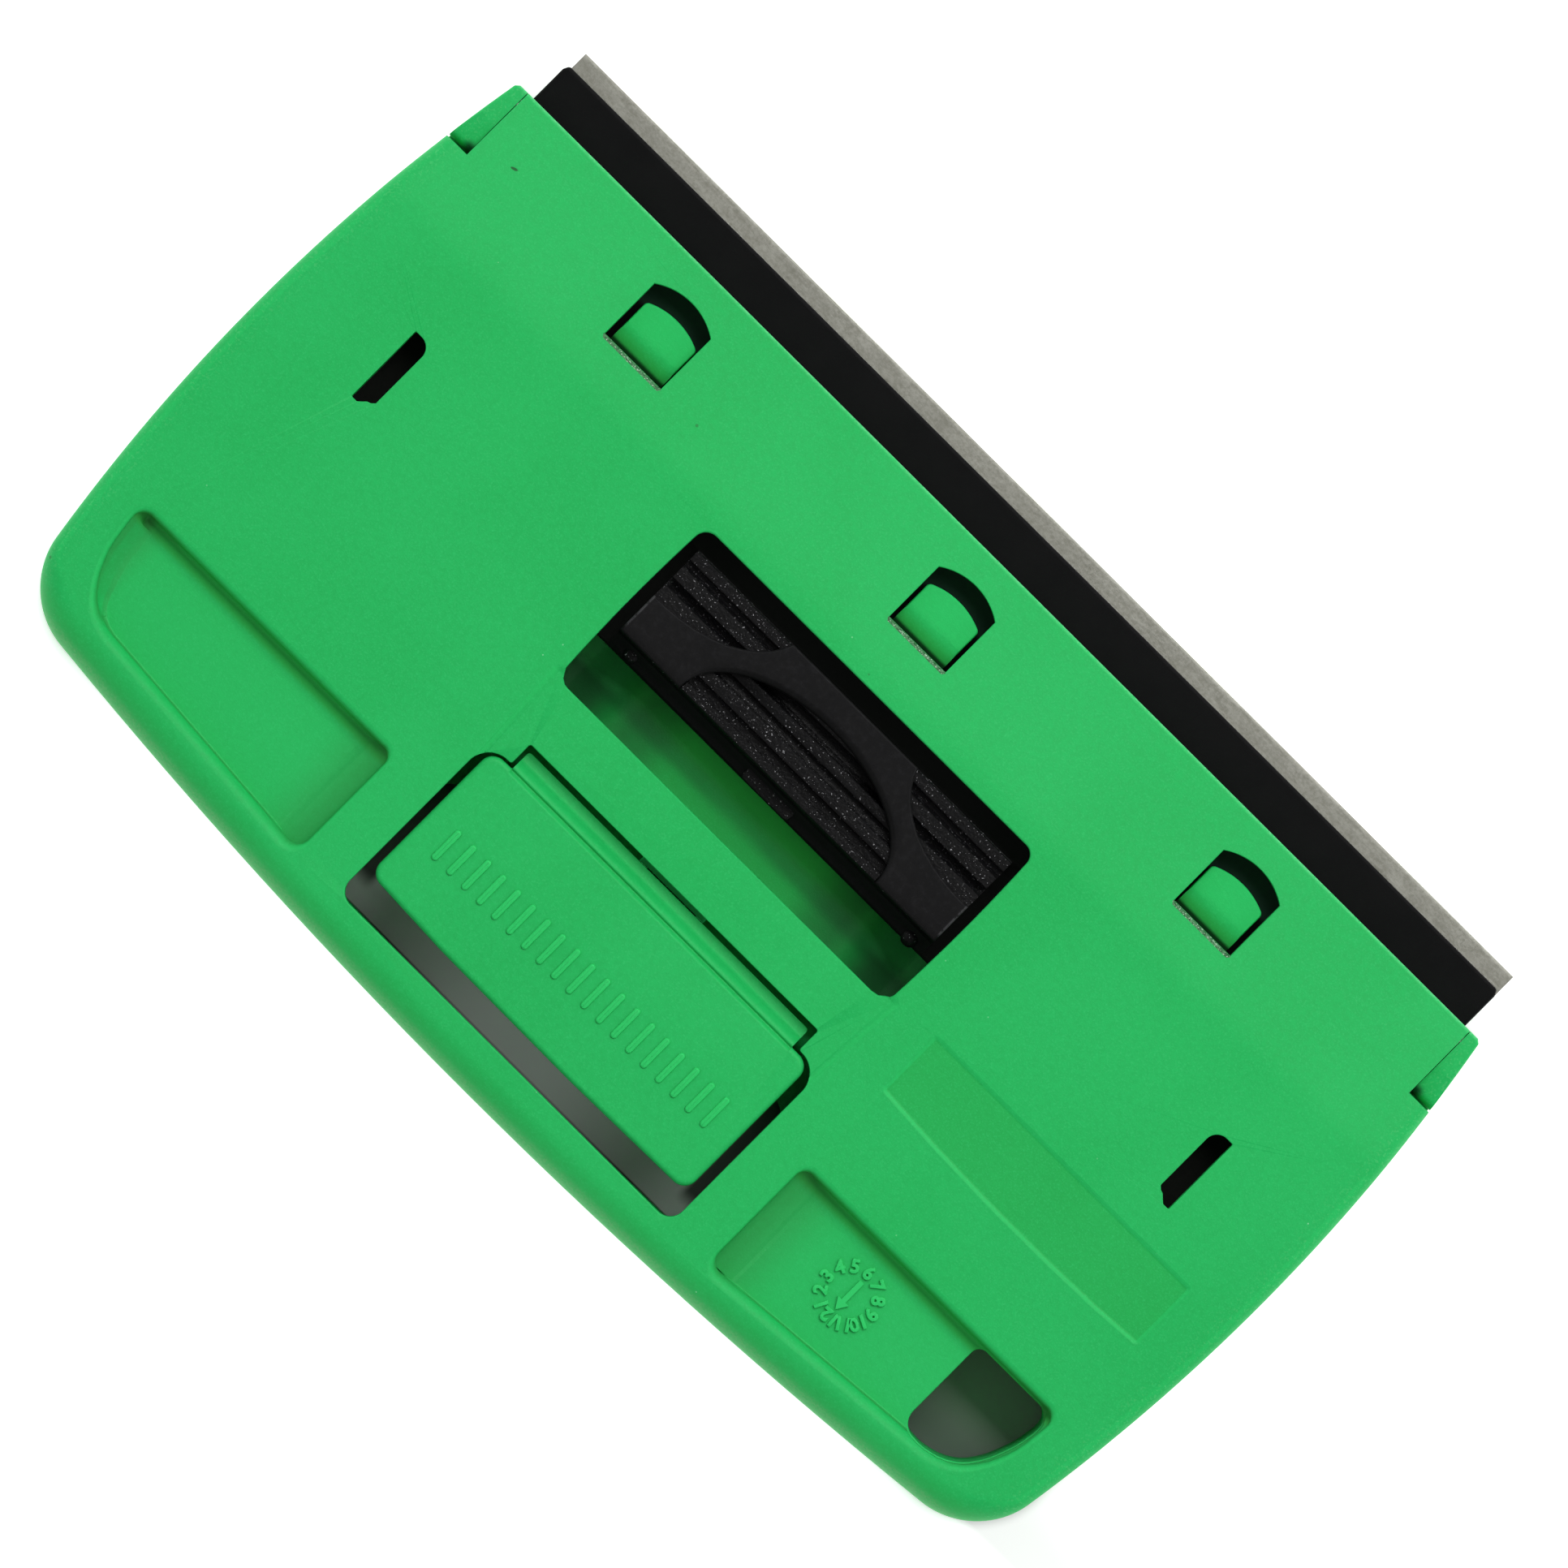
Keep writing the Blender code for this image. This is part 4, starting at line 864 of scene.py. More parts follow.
for x in (-21.0, 21.0):
    parts.append(soften(box(f"rear_rail_{x:+.0f}", x - 0.7, x + 0.7, -6.0, 6.9, 1.2, 4.5), 0.2))
for side in (-1, 1):
    for n, y in enumerate((-2.0, -4.7)):
        xs = sorted((side * 41.4, side * 44.6))
        parts.append(soften(
            along_x(f"ridge_{side:+d}_{n}", [(y - 0.2, 1.2), (y + 1.0, 1.2), (y + 0.6, 3.7), (y + 0.2, 3.7)], *xs),
            0.08,
        ))
    xs = sorted((side * 6.5, side * 12.5))
    parts.append(soften(
        along_x(
            f"catch_{side:+d}",
            [(-14.6, 1.2), (-13.2, 1.2), (-13.2, 3.8), (-11.8, 3.8), (-11.8, 4.4), (-12.4, 5.0), (-14.6, 5.0)],
            *xs,
        ),
        0.1,
    ))
land = rounded([
    (-LAND_X, LAND_Y0, 0.0), (0.0, LAND_Y0, 0.0), (LAND_X, LAND_Y0, 0.0), (LAND_X, LAND_Y1, 0.0), (0.0, LAND_Y1, 0.0),
    (-LAND_X, LAND_Y1, 0.0),
])
levels = []
for k in range(15):
    share = k / 14
    levels.append((
        lambda b, w, s=share: np.where(np.abs(b[:, 0]) > 1, 2.6 - 5.4 * s, 0.0),
        1.75 + (LAND_Z - 1.75) * share * share * (3 - 2 * share),
    ))


def land_warp(xy, z):
    """The ends slope in x only."""
    fixed = xy.copy()
    fixed[:, 1] = np.where(xy[:, 1] > 0, LAND_Y1, LAND_Y0)
    return fixed


parts.append(solid("land", land, [(levels[0][0], 1.2)] + levels, warp=land_warp))
join(bottom, *parts)
join(bottom, block("hang_wall_low", HANG_WALL, 1.0, SPLIT_LOW, top_r=0.1, steps=2))


def flare_down(name, outline, radius, high):
    """A cutter for a hole seen from below: it flares at the height of the underside."""
    tool = opening(name, outline, -high, radius, surface=0.0, above=2.0)
    tool.data.transform(Matrix.Diagonal((1, 1, -1, 1)))
    tool.data.flip_normals()
    return tool


cut(
    bottom,
    flare_down("hang_hole_low", HANG_HOLE, 0.3, 8.0),
    flare_down(
        "rear_opening",
        rounded([
            (-18.3, -27.35, 1.3), (0.0, -27.75, 0.0), (18.3, -27.35, 1.3), (18.3, -15.1, 1.5),
            (-18.3, -15.1, 1.5),
        ]),
        0.3, 3.0,
    ),
)
# shallow grip panels on the underside
for n, outline in enumerate((LEFT_POCKET, RIGHT_POCKET)):
    panel = opening(f"under_panel_{n}", outline, -0.35, 0.25, surface=0.0, above=2.0)
    panel.data.transform(Matrix.Diagonal((1, 1, -1, 1)))
    panel.data.flip_normals()
    cut(bottom, panel)
ejectors = []
for x, y in ((-38, 8), (38, 8), (-38, -10), (38, -10), (0, 8), (-12, -4), (12, -4)):
    ejectors.append(turned(f"ejector_{x}_{y}", (x, y, -1.0), (x, y, 1.0), [(0.0, 2.0), (1.08, 2.0)], 48))
cut(bottom, *ejectors)
finished(bottom, [GREEN], "lower_case", ["bottom_shell"])

# ---------------------------------------------------------------- upper shell
levels = [(-0.16, SPLIT_TOP), (-0.05, SPLIT_TOP + 0.05), (0.0, SPLIT_TOP + 0.15)]
for k in range(11):
    turn = math.pi / 2 * k / 10
    levels.append((
        lambda b, w, c=math.cos(turn): -ROUND * (1 - c),
        lambda xy, s=math.sin(turn): top_height(xy) - ROUND * (1 - s),
    ))
top = solid("top_shell_moulding", OUTLINE, levels, rows=(CREASE_ROWS[-1], CREASE_ROWS[0]))
cut(
    top,
    block("upper_hollow", body_outline(inset=WALL, front=20.0, chamfer=0), 4.0, CEILING_Z, top_r=0.5),
    box("upper_mouth", -COVER_X - 5, COVER_X + 5, 19.2, 23.9, 4.0, CEILING_Z),
    along_x(
        "lip_under",
        [(23.0, 4.0), (30.0, 4.0), (30.0, 7.6 + (30.0 - 26.05) * 0.6), (26.05, 7.6), (25.5, LIP_CEILING_Z), (23.0, LIP_CEILING_Z)],
        -60, 60,
    ),
)
for side in (-1, 1):
    notch = [(COVER_X, EAR_Y - 0.2), (60.0, EAR_Y - 0.2), (60.0, 30.0), (COVER_X, 30.0)]
    cut(top, opening(f"ear_notch_{side:+d}", notch if side > 0 else mirrored(notch), 4.0, 0.06, surface=top_height, steps=3))

# pocket backs under the plate
for side in (-1, 1):
    back = block(f"pocket_back_{side:+d}", body_outline(inset=1.6), POCKET_BACK_Z, 9.6)
    xs = sorted((side * 21.0, side * 53.0))
    shape(back, "INTERSECT", box(f"pocket_back_zone_{side:+d}", *xs, -28.6, -15.8, 7.0, 10.0))
    join(top, back)
join(top, block("hang_wall_top", HANG_WALL, SPLIT_TOP, 9.2))

# lowered strip between the two windows
strip = rounded([(-18.15, -3.2, 0.35), (-17.72, -12.9, 0.35), (17.55, -12.9, 0.35), (18.15, -3.2, 0.35)])
cut(top, dish("strip_recess", strip, STRIP_Z, 0.66))

thumb_side = []
for k in range(1, 12):
    share = k / 12
    thumb_side.append((THUMB_BOW * (1 - (2 * share - 1) ** 2), THUMB_Y0 + 1.0 + (THUMB_Y1 - THUMB_Y0 - 1.0) * share, 0.0))
# the rear corners are cut off, one more than the other
thumb_corners = [(16.1, THUMB_Y0, 0.0), (16.75, THUMB_Y0 + 0.12, 0.0), (17.2, THUMB_Y0 + 0.5, 0.0), (17.48, THUMB_Y0 + 0.65, 0.0), (17.6, THUMB_Y0 + 1.0, 0.0)]
thumb_corners += [(17.6 + x, y, r) for x, y, r in thumb_side] + [(17.6, THUMB_Y1, 1.0)]
thumb_corners += [(-17.72, THUMB_Y1, 1.15)] + [(-17.72 - x, y, r) for x, y, r in reversed(thumb_side)]
thumb_corners += [(-17.72, THUMB_Y0 + 1.05, 0.0), (-17.55, THUMB_Y0 + 0.72, 0.0), (-17.3, THUMB_Y0 + 0.32, 0.0), (-16.9, THUMB_Y0 + 0.05, 0.0), (-16.5, THUMB_Y0, 0.0)]


def thumb_level(xy):
    return np.where(xy[:, 1] < THUMB_Y0 + 0.6, STRIP_Z + 0.01, TOP_Z)


cut(top, opening("thumb_window", rounded(thumb_corners), 4.0, 0.16, surface=thumb_level))


def flap_level(xy):
    return np.where(xy[:, 1] > -12.0, STRIP_Z + 0.01, TOP_Z)


cut(
    top,
    opening(
        "flap_window",
        rounded([
            (-15.52, -8.97, 0.2), (-15.52, -11.05, 0.2), (-17.95, -11.05, 2.1), (-17.95, -27.32, 1.3),
            (17.78, -27.32, 1.3), (17.78, -11.05, 2.1), (15.4, -11.05, 0.2), (15.4, -8.97, 0.2),
        ]),
        4.0, 0.12, surface=flap_level,
    ),
)


def window_round(b, w):
    """The windows' straight rear edges roll off, their other edges are nearly sharp."""
    return np.where((b[:, 1] < 17.3) & (np.abs(w[:, 0]) < 0.5), 0.36, 0.08)


for n, x in enumerate(TONGUE_X):
    outline = arc_front(x, 17.2, 22.56, 23.50, 3.02)
    outline = [outline[0], (x - 2.9, 17.2), (x, 17.2), (x + 2.9, 17.2)] + outline[1:]
    cut(top, opening(f"tongue_window_{n}", outline, 4.0, window_round, surface=top_height))
for side in (-1, 1):
    slot = rounded([
        (43.87, 0.2, 0.1), (43.87, 7.15, 0.1), (42.15, 7.15, 1.1), (42.15, 1.1, 0.2), (42.42, 0.85, 0.1),
        (42.72, 0.74, 0.1), (43.05, 0.42, 0.1), (43.3, 0.2, 0.1),
    ])
    cut(top, opening(f"side_slot_{side:+d}", slot if side > 0 else mirrored(slot), 4.0, 0.07, steps=3))


def weights(w, inner):
    facing = w / np.linalg.norm(w, axis=1)[:, None]
    front = np.clip(facing[:, 1], 0, None) ** 2
    rear = np.clip(-facing[:, 1], 0, None) ** 2
    within = np.clip(facing[:, 0] * inner, 0, None) ** 2
    outer = np.clip(-facing[:, 0] * inner, 0, None) ** 2
    return front, rear, within, outer


def pocket(name, outline, inner):
    """A recess with a sloping outer end and rounded rims."""
    base = np.array(outline, float)
    x, y = base[:, 0], base[:, 1]
    if np.sum(x * np.roll(y, -1) - np.roll(x, -1) * y) < 0:
        base = base[::-1]
    front, rear, within, outer = weights(outward(base), inner)
    rim = 0.62 * front + 0.95 * rear + 0.36 * within + 0.46 * outer
    made = []
    for share in (0.0, 0.1, 0.22, 0.34, 0.46, 0.6, 0.75, 0.9, 1.0):
        # a slope at the outer end with a soft foot, small rounded feet elsewhere
        soft = 1 - math.sqrt(max(0.0, 1 - share * share))
        slope = share ** 1.55
        wide = 1.0 - share
        made.append((
            lambda b, w, q=wide: -q * (0.42 * front + 0.20 * rear + 0.15 * within + 1.95 * outer),
            lambda xy, soft=soft, slope=slope: POCKET_Z + soft * (0.58 * front + 0.32 * rear + 0.25 * within) + slope * 1.36 * outer,
        ))
    steps = 8
    for k in range(steps + 1):
        turn = math.pi / 2 * k / steps
        made.append((
            lambda b, w, c=math.cos(turn): rim * (1 - c),
            lambda xy, s=math.sin(turn), k=k: TOP_Z - rim * (1 - s) + (0.004 if k == steps else 0.0),
        ))
    made.append((lambda b, w: rim, 13.0))
    return solid(name, base, made)


cut(top, pocket("pocket_left", LEFT_POCKET, 1), pocket("pocket_right", RIGHT_POCKET, -1))
# the inner ends rise in a soft curve
for side, wall in ((-1, -22.35), (1, 21.95)):
    ramp = []
    for k in range(13):
        turn = math.pi / 2 * k / 12
        ramp.append((wall + side * (2.5 - 2.6 * math.sin(turn)), POCKET_Z + 0.01 + 1.42 * (1 - math.cos(turn))))
    ramp = [(wall + side * 2.5, POCKET_Z - 0.4)] + ramp + [(wall - side * 0.1, POCKET_Z - 0.4)]
    wedge = solid(f"inner_ramp_{side:+d}", ramp, [(0.0, 17.02), (0.0, 27.2)])
    # local x, y, z become world x, z, -y
    wedge.data.transform(Matrix(((1, 0, 0, 0), (0, 0, -1, 0), (0, 1, 0, 0), (0, 0, 0, 1))))
    join(top, wedge)
# plain recessed panel over the right pocket
panel = rounded([
    (22.13, -2.98, 0.25), (49.3, -2.98, 0.25), (49.3, -8.75, 0.25), (45.0, -9.02, 0.0), (40.0, -9.15, 0.0),
    (34.0, -9.15, 0.0), (28.0, -8.98, 0.0), (22.13, -8.62, 0.25),
], 15)
cut(top, dish("plain_panel", panel, TOP_Z - 0.15, 0.49))

# tongues on their blocks, ribs over the carrier, and ribs that hold the flap's pin
for n, x in enumerate(TONGUE_X):
    x += TONGUE_SHIFT[n]
    profile = [(14.5, 7.1), (22.0, 7.1), (22.0, 8.9)]
    for k in range(13):
        turn = math.radians(36 * k / 12)
        profile.append((19.1 - 3.2 * math.sin(turn), 8.9 - 3.2 * (1 - math.cos(turn))))
    profile += [(17.1, 8.2), (14.5, 8.2)]
    tongue = along_x(f"tongue_{n}", profile, x - 4, x + 4)
    outline = [
        (px, py, 0.0 if py < 15 else 0.44 if abs(px - x) > 2.6 else 5.0)
        for px, py in arc_front(x, 14.3, 21.15, 21.78, 2.68, 8)
    ]
    shape(tongue, "INTERSECT", block(f"tongue_shape_{n}", rounded(outline), 6.5, 8.91, top_r=0.16, steps=4))
    plate = box(f"tongue_block_{n}", x - 3.6, x + 3.6, 14.0, 17.14, 7.1, 9.2)
    join(top, plate, tongue)
parts = []
for x in (-46.5, -25.0, 25.0, 46.5):
    parts.append(soften(box(f"top_rail_{x:+.0f}", x - 0.6, x + 0.6, 8.5, 13.5, LIP_CEILING_Z, 9.2), 0.15))
for side in (-1, 1):
    xs = sorted((side * 16.0, side * 18.0))
    parts.append(soften(
        along_x(
            f"pivot_rib_{side:+d}",
            [(-7.6, 9.3), (-10.9, 9.3), (-11.6, 7.6), (-11.2, 6.3), (-10.4, 5.8), (-9.6, 5.8), (-8.8, 6.3), (-7.6, 8.0)],
            *xs,
        ),
        0.12, 2, 20,
    ))
parts.append(box("spring_shield", -3.3, 3.3, -9.35, -8.6, 8.5, 8.9))
join(top, *parts)
cut(top, rod("pivot_hole", 0.7, (-19.5, PIVOT_Y, PIVOT_Z), (19.5, PIVOT_Y, PIVOT_Z), 32))
cut(top, opening("hang_hole_top", HANG_HOLE, 4.0, 0.12, surface=POCKET_Z, steps=3))
cut(top, *[
    rod(f"cover_hole_{side:+d}", 0.7, (side * 47.5, HINGE_Y, HINGE_Z), (side * 55, HINGE_Y, HINGE_Z), 32)
    for side in (-1, 1)
])
finished(top, [GREEN, GREEN_FINE, GREEN_WORN], "cover", ["top_shell"])
for face in top.data.polygons:
    centre = face.center / MM
    if abs(centre.z - TOP_Z + 0.15) < 0.04 and 21.5 < centre.x < 50 and -9.6 < centre.y < -2.5:
        face.material_index = 1
    if 16.8 < centre.y < 17.19 and 9.6 < centre.z < 10.66 and min(abs(centre.x - x) for x in TONGUE_X) < 3.15:
        face.material_index = 2

# ---------------------------------------------------------------- dial in the right pocket
DIAL_X, DIAL_Y, DIAL_R = 31.3, -21.6, 2.2
dial_points, dial_faces = [], []


def add_solid(outline, low, high):
    """Adds a flat-ended solid's points and faces to the dial's lists."""
    start = len(dial_points)
    count = len(outline)
    for z in (low, high):
        dial_points.extend((x, y, z) for x, y in outline)
    dial_faces.append(tuple(start + k for k in reversed(range(count))))
    dial_faces.append(tuple(start + count + k for k in range(count)))
    for k in range(count):
        j = (k + 1) % count
        dial_faces.append((start + k, start + j, start + count + j, start + count + k))


def figure(text, x, y, turn, height):
    """A raised plain figure, its foot towards the dial's middle."""
    curve = bpy.data.curves.new("figure_" + text, "FONT")
    curve.body = text
    curve.size = height * 1.38 * MM
    curve.align_x = "CENTER"
    curve.align_y = "CENTER"
    curve.extrude = 0.19 * MM
    curve.offset = 0.036 * MM
    curve.bevel_depth = 0.03 * MM
    curve.bevel_resolution = 1
    curve.resolution_u = 3
    holder = put("figure_holder", curve)
    bpy.context.view_layer.update()
    graph = bpy.context.evaluated_depsgraph_get()
    mesh = bpy.data.meshes.new_from_object(holder.evaluated_get(graph))
    bpy.data.objects.remove(holder, do_unlink=True)
    mesh.transform(Matrix.Translation((x * MM, y * MM, (POCKET_Z + 0.02) * MM)) @ Matrix.Rotation(turn, 4, "Z"))
    start = len(dial_points)
    dial_points.extend(tuple(c / MM for c in v.co) for v in mesh.vertices)
    dial_faces.extend(tuple(start + k for k in face.vertices) for face in mesh.polygons)
    bpy.data.meshes.remove(mesh)
    bpy.data.curves.remove(curve)


for n in range(12):
    clock = math.radians(-30.0 * n + 3.0)
    figure(
        str((n + 5) % 12 + 1),
        DIAL_X - DIAL_R * math.sin(clock), DIAL_Y + DIAL_R * math.cos(clock), clock, 1.06,
    )
arrow = [
    (-0.20, 1.40), (-0.20, -0.62), (-0.56, -0.62), (0.0, -1.5), (0.56, -0.62), (0.20, -0.62), (0.20, 1.40),
]
add_solid([(DIAL_X + x, DIAL_Y + y) for x, y in arrow], POCKET_Z - 0.05, POCKET_Z + 0.26)
dial = put("dial_figures", mesh_of("dial_figures", dial_points, dial_faces))
finished(dial, [GREEN], "cover")

# ---------------------------------------------------------------- blade carrier
corners = [
    (18.6, 0.5, 0.8), (18.6, 8.0, 0.5), (FINGER_X - FINGER_W / 2, 8.0, 0.4),
    (FINGER_X - FINGER_W / 2, FINGER_Y, 0.5), (FINGER_X + FINGER_W / 2, FINGER_Y, 0.5),
    (FINGER_X + FINGER_W / 2, 8.0, 0.4), (50.2, 8.0, 0.8), (50.2, 29.3, 0.3), (49.95, 29.8, 0.3),
]
outline = rounded(corners + [(-x, y, r) for x, y, r in reversed(corners)])


def lip_round(b, w):
    return 0.24 + 0.04 * (b[:, 1] > 28.0)


CARRIER = np.array(outline, float)
x, y = CARRIER[:, 0], CARRIER[:, 1]
if np.sum(x * np.roll(y, -1) - np.roll(x, -1) * y) < 0:
    CARRIER = CARRIER[::-1]
LIP = lip_round(CARRIER, None)
levels = [(-0.15, 4.8), (0.0, 4.95)]
for k in range(6):
    turn = math.pi / 2 * k / 5
    levels.append((
        lambda b, w, c=math.cos(turn): -LIP * (1 - c),
        lambda xy, s=math.sin(turn): 6.7 - LIP * (1 - s),
    ))
carrier = solid("blade_carrier_moulding", CARRIER, levels)
for n, px in enumerate(PEG_X):
    join(carrier, turned(f"blade_peg_{n}", (px, PEG_Y, 3.95), (px, PEG_Y, 5.5), [(0.0, 1.3), (0.2, 1.5), (1.55, 1.5)]))
for side in (-1, 1):
    cut(carrier, rod(f"pad_peg_hole_{side:+d}", 1.8, (side * 10.0, 5.6, 4.0), (side * 10.0, 5.6, 8.0)))
    xs = sorted((side * (FINGER_X - 1.1), side * (FINGER_X + 1.1)))
    join(carrier, soften(along_x(f"finger_nub_{side:+d}", [(-0.9, 5.2), (0.5, 5.2), (0.1, 4.0), (-0.5, 4.0)], *xs), 0.1, 2, 20))
finished(carrier, [BLACK], "carriage", ["blade_carrier"])

# ---------------------------------------------------------------- blade
blade = solid(
    "blade_ground",
    [(BLADE_OFF - BLADE_X, BLADE_Y0), (BLADE_OFF + BLADE_X, BLADE_Y0),
     (BLADE_OFF + BLADE_X, BLADE_Y1), (BLADE_OFF - BLADE_X, BLADE_Y1)],
    [(0.0, BLADE_Z0), (0.0, BLADE_Z1)],
)
cut(
    blade,
    along_x(
        "edge_grind",
        [(BLADE_Y1 - 1.3, BLADE_Z0), (BLADE_Y1 - 1.3, BLADE_Z0 - 1), (BLADE_Y1 + 1, BLADE_Z0 - 1),
         (BLADE_Y1 + 1, BLADE_Z1 - 0.06 + 0.25), (BLADE_Y1, BLADE_Z1 - 0.06)],
        -60, 60,
    ),
    along_x(
        "edge_hone",
        [(BLADE_Y1 - 0.28, BLADE_Z1 + 0.5), (BLADE_Y1 - 0.28, BLADE_Z1), (BLADE_Y1 + 0.3, BLADE_Z1 - 0.06), (BLADE_Y1 + 0.3, BLADE_Z1 + 0.5)],
        -60, 60,
    ),
    *[
        turned(f"blade_hole_{n}", (px, PEG_Y, 3.0), (px, PEG_Y, 6.0), [(0.0, 1.8), (3.0, 1.8)], 64)
        for n, px in enumerate(PEG_X)
    ],
)
finished(blade, [BLADE_STEEL], "carriage", ["blade"])

# ---------------------------------------------------------------- thumb pad
RIB_TOP, VALLEY = PAD_TOP_Z - 0.5, PAD_TOP_Z - 1.45


def rib(name, front, crest, rear, x0, x1, top=RIB_TOP, floor=VALLEY):
    """A rib across the pad: sloping front face, flat crest, steep rear face. front and
    crest are where the front face starts and ends, rear is where the crest ends."""
    profile = [
        (front, floor - 0.2), (front, floor), (crest + 0.10, top - 0.09), (crest + 0.04, top - 0.03), (crest, top),
        (rear + 0.06, top), (rear + 0.01, top - 0.03), (rear - 0.04, top - 0.10), (rear - 0.12, floor), (rear - 0.12, floor - 0.2),
    ]
    return along_x(name, profile, x0, x1)


pad = along_x("thumb_pad_moulding", [
    (PAD_Y0, PAD_Z0 + 0.05), (10.56, PAD_Z0 + 0.05), (10.56, VALLEY), (8.2, VALLEY), (7.9, VALLEY - 0.5), (6.9, VALLEY - 0.45),
    (6.5, VALLEY - 0.25), (4.6, VALLEY - 0.1), (3.6, VALLEY), (2.02, VALLEY), (1.95, 9.2), (1.80, 8.5), (1.2, 8.1),
    (PAD_Y0 + 0.15, 7.9), (PAD_Y0, 7.75),
], -PAD_X + 0.05, PAD_X - 0.05)
ends = PAD_X - 0.07
parts = [
    rib("rib_front", 10.52, 10.36, 9.56, -ends, ends),
    rib("rib_second", 9.08, 8.76, 7.72, -ends, ends),
    rib("rib_inner_a", 6.62, 6.42, 5.62, -10.4, 10.4, RIB_TOP - 0.28, VALLEY - 0.35),
    rib("rib_inner_b", 4.92, 4.70, 3.76, -10.4, 10.4, RIB_TOP - 0.10, VALLEY - 0.15),
    rib("rib_inner_c", 2.92, 2.74, 2.12, -10.4, 10.4, RIB_TOP),
]
for n, xs in enumerate(((-ends, -9.3), (9.3, ends))):
    parts.append(rib(f"rib_third_{n}", 7.14, 6.84, 5.3, *xs))
join(pad, *parts)
# what stands under the arch and along the rear edge
outer = [(-16.85, 5.72), (-15.6, 5.74), (-14.3, 5.85), (-12.9, 6.07), (-11.5, 6.45), (-10.2, 6.95), (-9.1, 7.6), (-8.2, 8.3), (-7.5, 9.05), (-7.0, 9.8), (-6.7, 10.56)]
inner = []
for k in range(61):
    turn = math.pi * k / 60
    inner.append((10.5 * math.cos(turn), 2.3 + 5.65 * math.sin(turn)))
arch_outline = outer + mirrored(outer) + [(16.85, 2.05)] + [(10.5, 2.05)] + inner + [(-10.5, 2.05)] + [(-16.85, 2.05)]


def arch_rim(b):
    """The arch's inner edge rolls over softly, its outer edge is nearly sharp."""
    reach = (b[:, 0] / 10.5) ** 2 + ((b[:, 1] - 2.3) / 5.65) ** 2
    within = (np.abs(reach - 1) < 0.02) & (b[:, 1] > 2.2)
    return np.where(within, 0.20 + 0.45 * np.clip((b[:, 1] - 2.3) / 5.65, 0, 1), 0.18)


arch = capped("pad_arch", arch_outline, 8.2, PAD_TOP_Z, arch_rim, 6)
skirt = block(
    "pad_skirt",
    rounded([(-16.88, 0.6, 0.5), (16.88, 0.6, 0.5), (16.88, 10.55, 0.5), (-16.88, 10.55, 0.5)], 15),
    PAD_Z0, 7.75, top_r=0.15, steps=3,
)
join(pad, arch, skirt)
# nose in the middle of the rear foot and two small bumps
nose = block("pad_nose", rounded([(-2.5, 0.5, 0.4), (2.5, 0.5, 0.4), (2.5, 2.0, 0.3), (-2.5, 2.0, 0.3)], 15), 7.2, 8.3, top_r=0.22, steps=3)
bumps = [
    turned(f"pad_bump_{n}", (bx, by, 7.1), (bx, by, 8.4), [(0.0, 0.78), (0.85, 0.74), (1.05, 0.6), (1.2, 0.35), (1.25, 0.1)], 24)
    for n, (bx, by) in enumerate(((-14.9, 1.32), (15.4, 1.0)))
]
join(pad, nose, *bumps)
join(pad, *[
    turned(f"pad_peg_{side:+d}", (side * 10.0, 5.6, 5.0), (side * 10.0, 5.6, 7.6), [(0.0, 1.3), (0.2, 1.5), (2.6, 1.5)])
    for side in (-1, 1)
])
for face in pad.data.polygons:
    face.material_index = 0
finished(pad, [BLACK_ROUGH, BLACK_SMOOTH], "carriage", ["thumb_pad"])
for face in pad.data.polygons:
    centre = face.center / MM
    if centre.z > RIB_TOP + 0.01 or centre.z < 8.2 or (face.normal.y < -0.5 and centre.y < 2.3):
        face.material_index = 1

# ---------------------------------------------------------------- release flap
flap_outline = rounded([
    (FLAP_BAR_X0, FLAP_BAR_Y, 0.3), (FLAP_BAR_X0, FLAP_Y1, 0.15), (FLAP_X0, FLAP_Y1, 1.2),
    (FLAP_X0, FLAP_Y0 + 0.42, 1.2), (-9.2, FLAP_Y0 + 0.04, 30.0), (4.7, FLAP_Y0 - 0.08, 30.0), (FLAP_X1, FLAP_Y0 + 0.12, 1.2),
    (FLAP_X1, FLAP_Y1, 1.2), (FLAP_BAR_X1, FLAP_Y1, 0.15), (FLAP_BAR_X1, FLAP_BAR_Y, 0.3),
])
flap = capped("release_flap_moulding", flap_outline, FLAP_Z0, FLAP_Z1, lambda b: np.where(b[:, 1] > -11.2, 0.1, 0.42), 7)
# the front edge stays lower: a shelf, a rise, a fine groove, then the flap's face
step = [
    (-9.0, 12.0), (-9.0, 9.60), (-9.8, 9.62), (-10.1, 9.66), (-10.28, 9.74), (-10.42, 9.88), (-10.56, 10.08), (-10.70, 10.28),
    (-10.84, 10.44), (-10.98, 10.55), (-11.12, 10.59), (-11.22, 10.57), (-11.29, 10.48), (-11.36, 10.41), (-11.44, 10.43),
    (-11.51, 10.54), (-11.58, 10.68), (-11.68, 10.77), (-11.80, 10.804), (-11.80, 12.0),
]
join(
    flap,
    soften(along_x(
        "flap_bar",
        [(-9.45, 9.6), (-9.45, 8.1), (-8.9, 7.5), (-8.75, 6.9), (-9.1, 6.2), (-9.9, 5.85), (-10.8, 6.1), (-11.25, 6.9), (-11.25, 9.6)],
        FLAP_BAR_X0 + 0.07, FLAP_BAR_X1 - 0.07,
    ), 0.15, 2, 20),
)
cut(flap, along_x("flap_step", step, FLAP_BAR_X0 - 0.02, FLAP_BAR_X1 + 0.02))
join(flap, rod("flap_boss_left", 1.3, (-15.85, PIVOT_Y, PIVOT_Z), (-14.0, PIVOT_Y, PIVOT_Z)), rod("flap_boss_right", 1.3, (14.0, PIVOT_Y, PIVOT_Z), (15.85, PIVOT_Y, PIVOT_Z)))
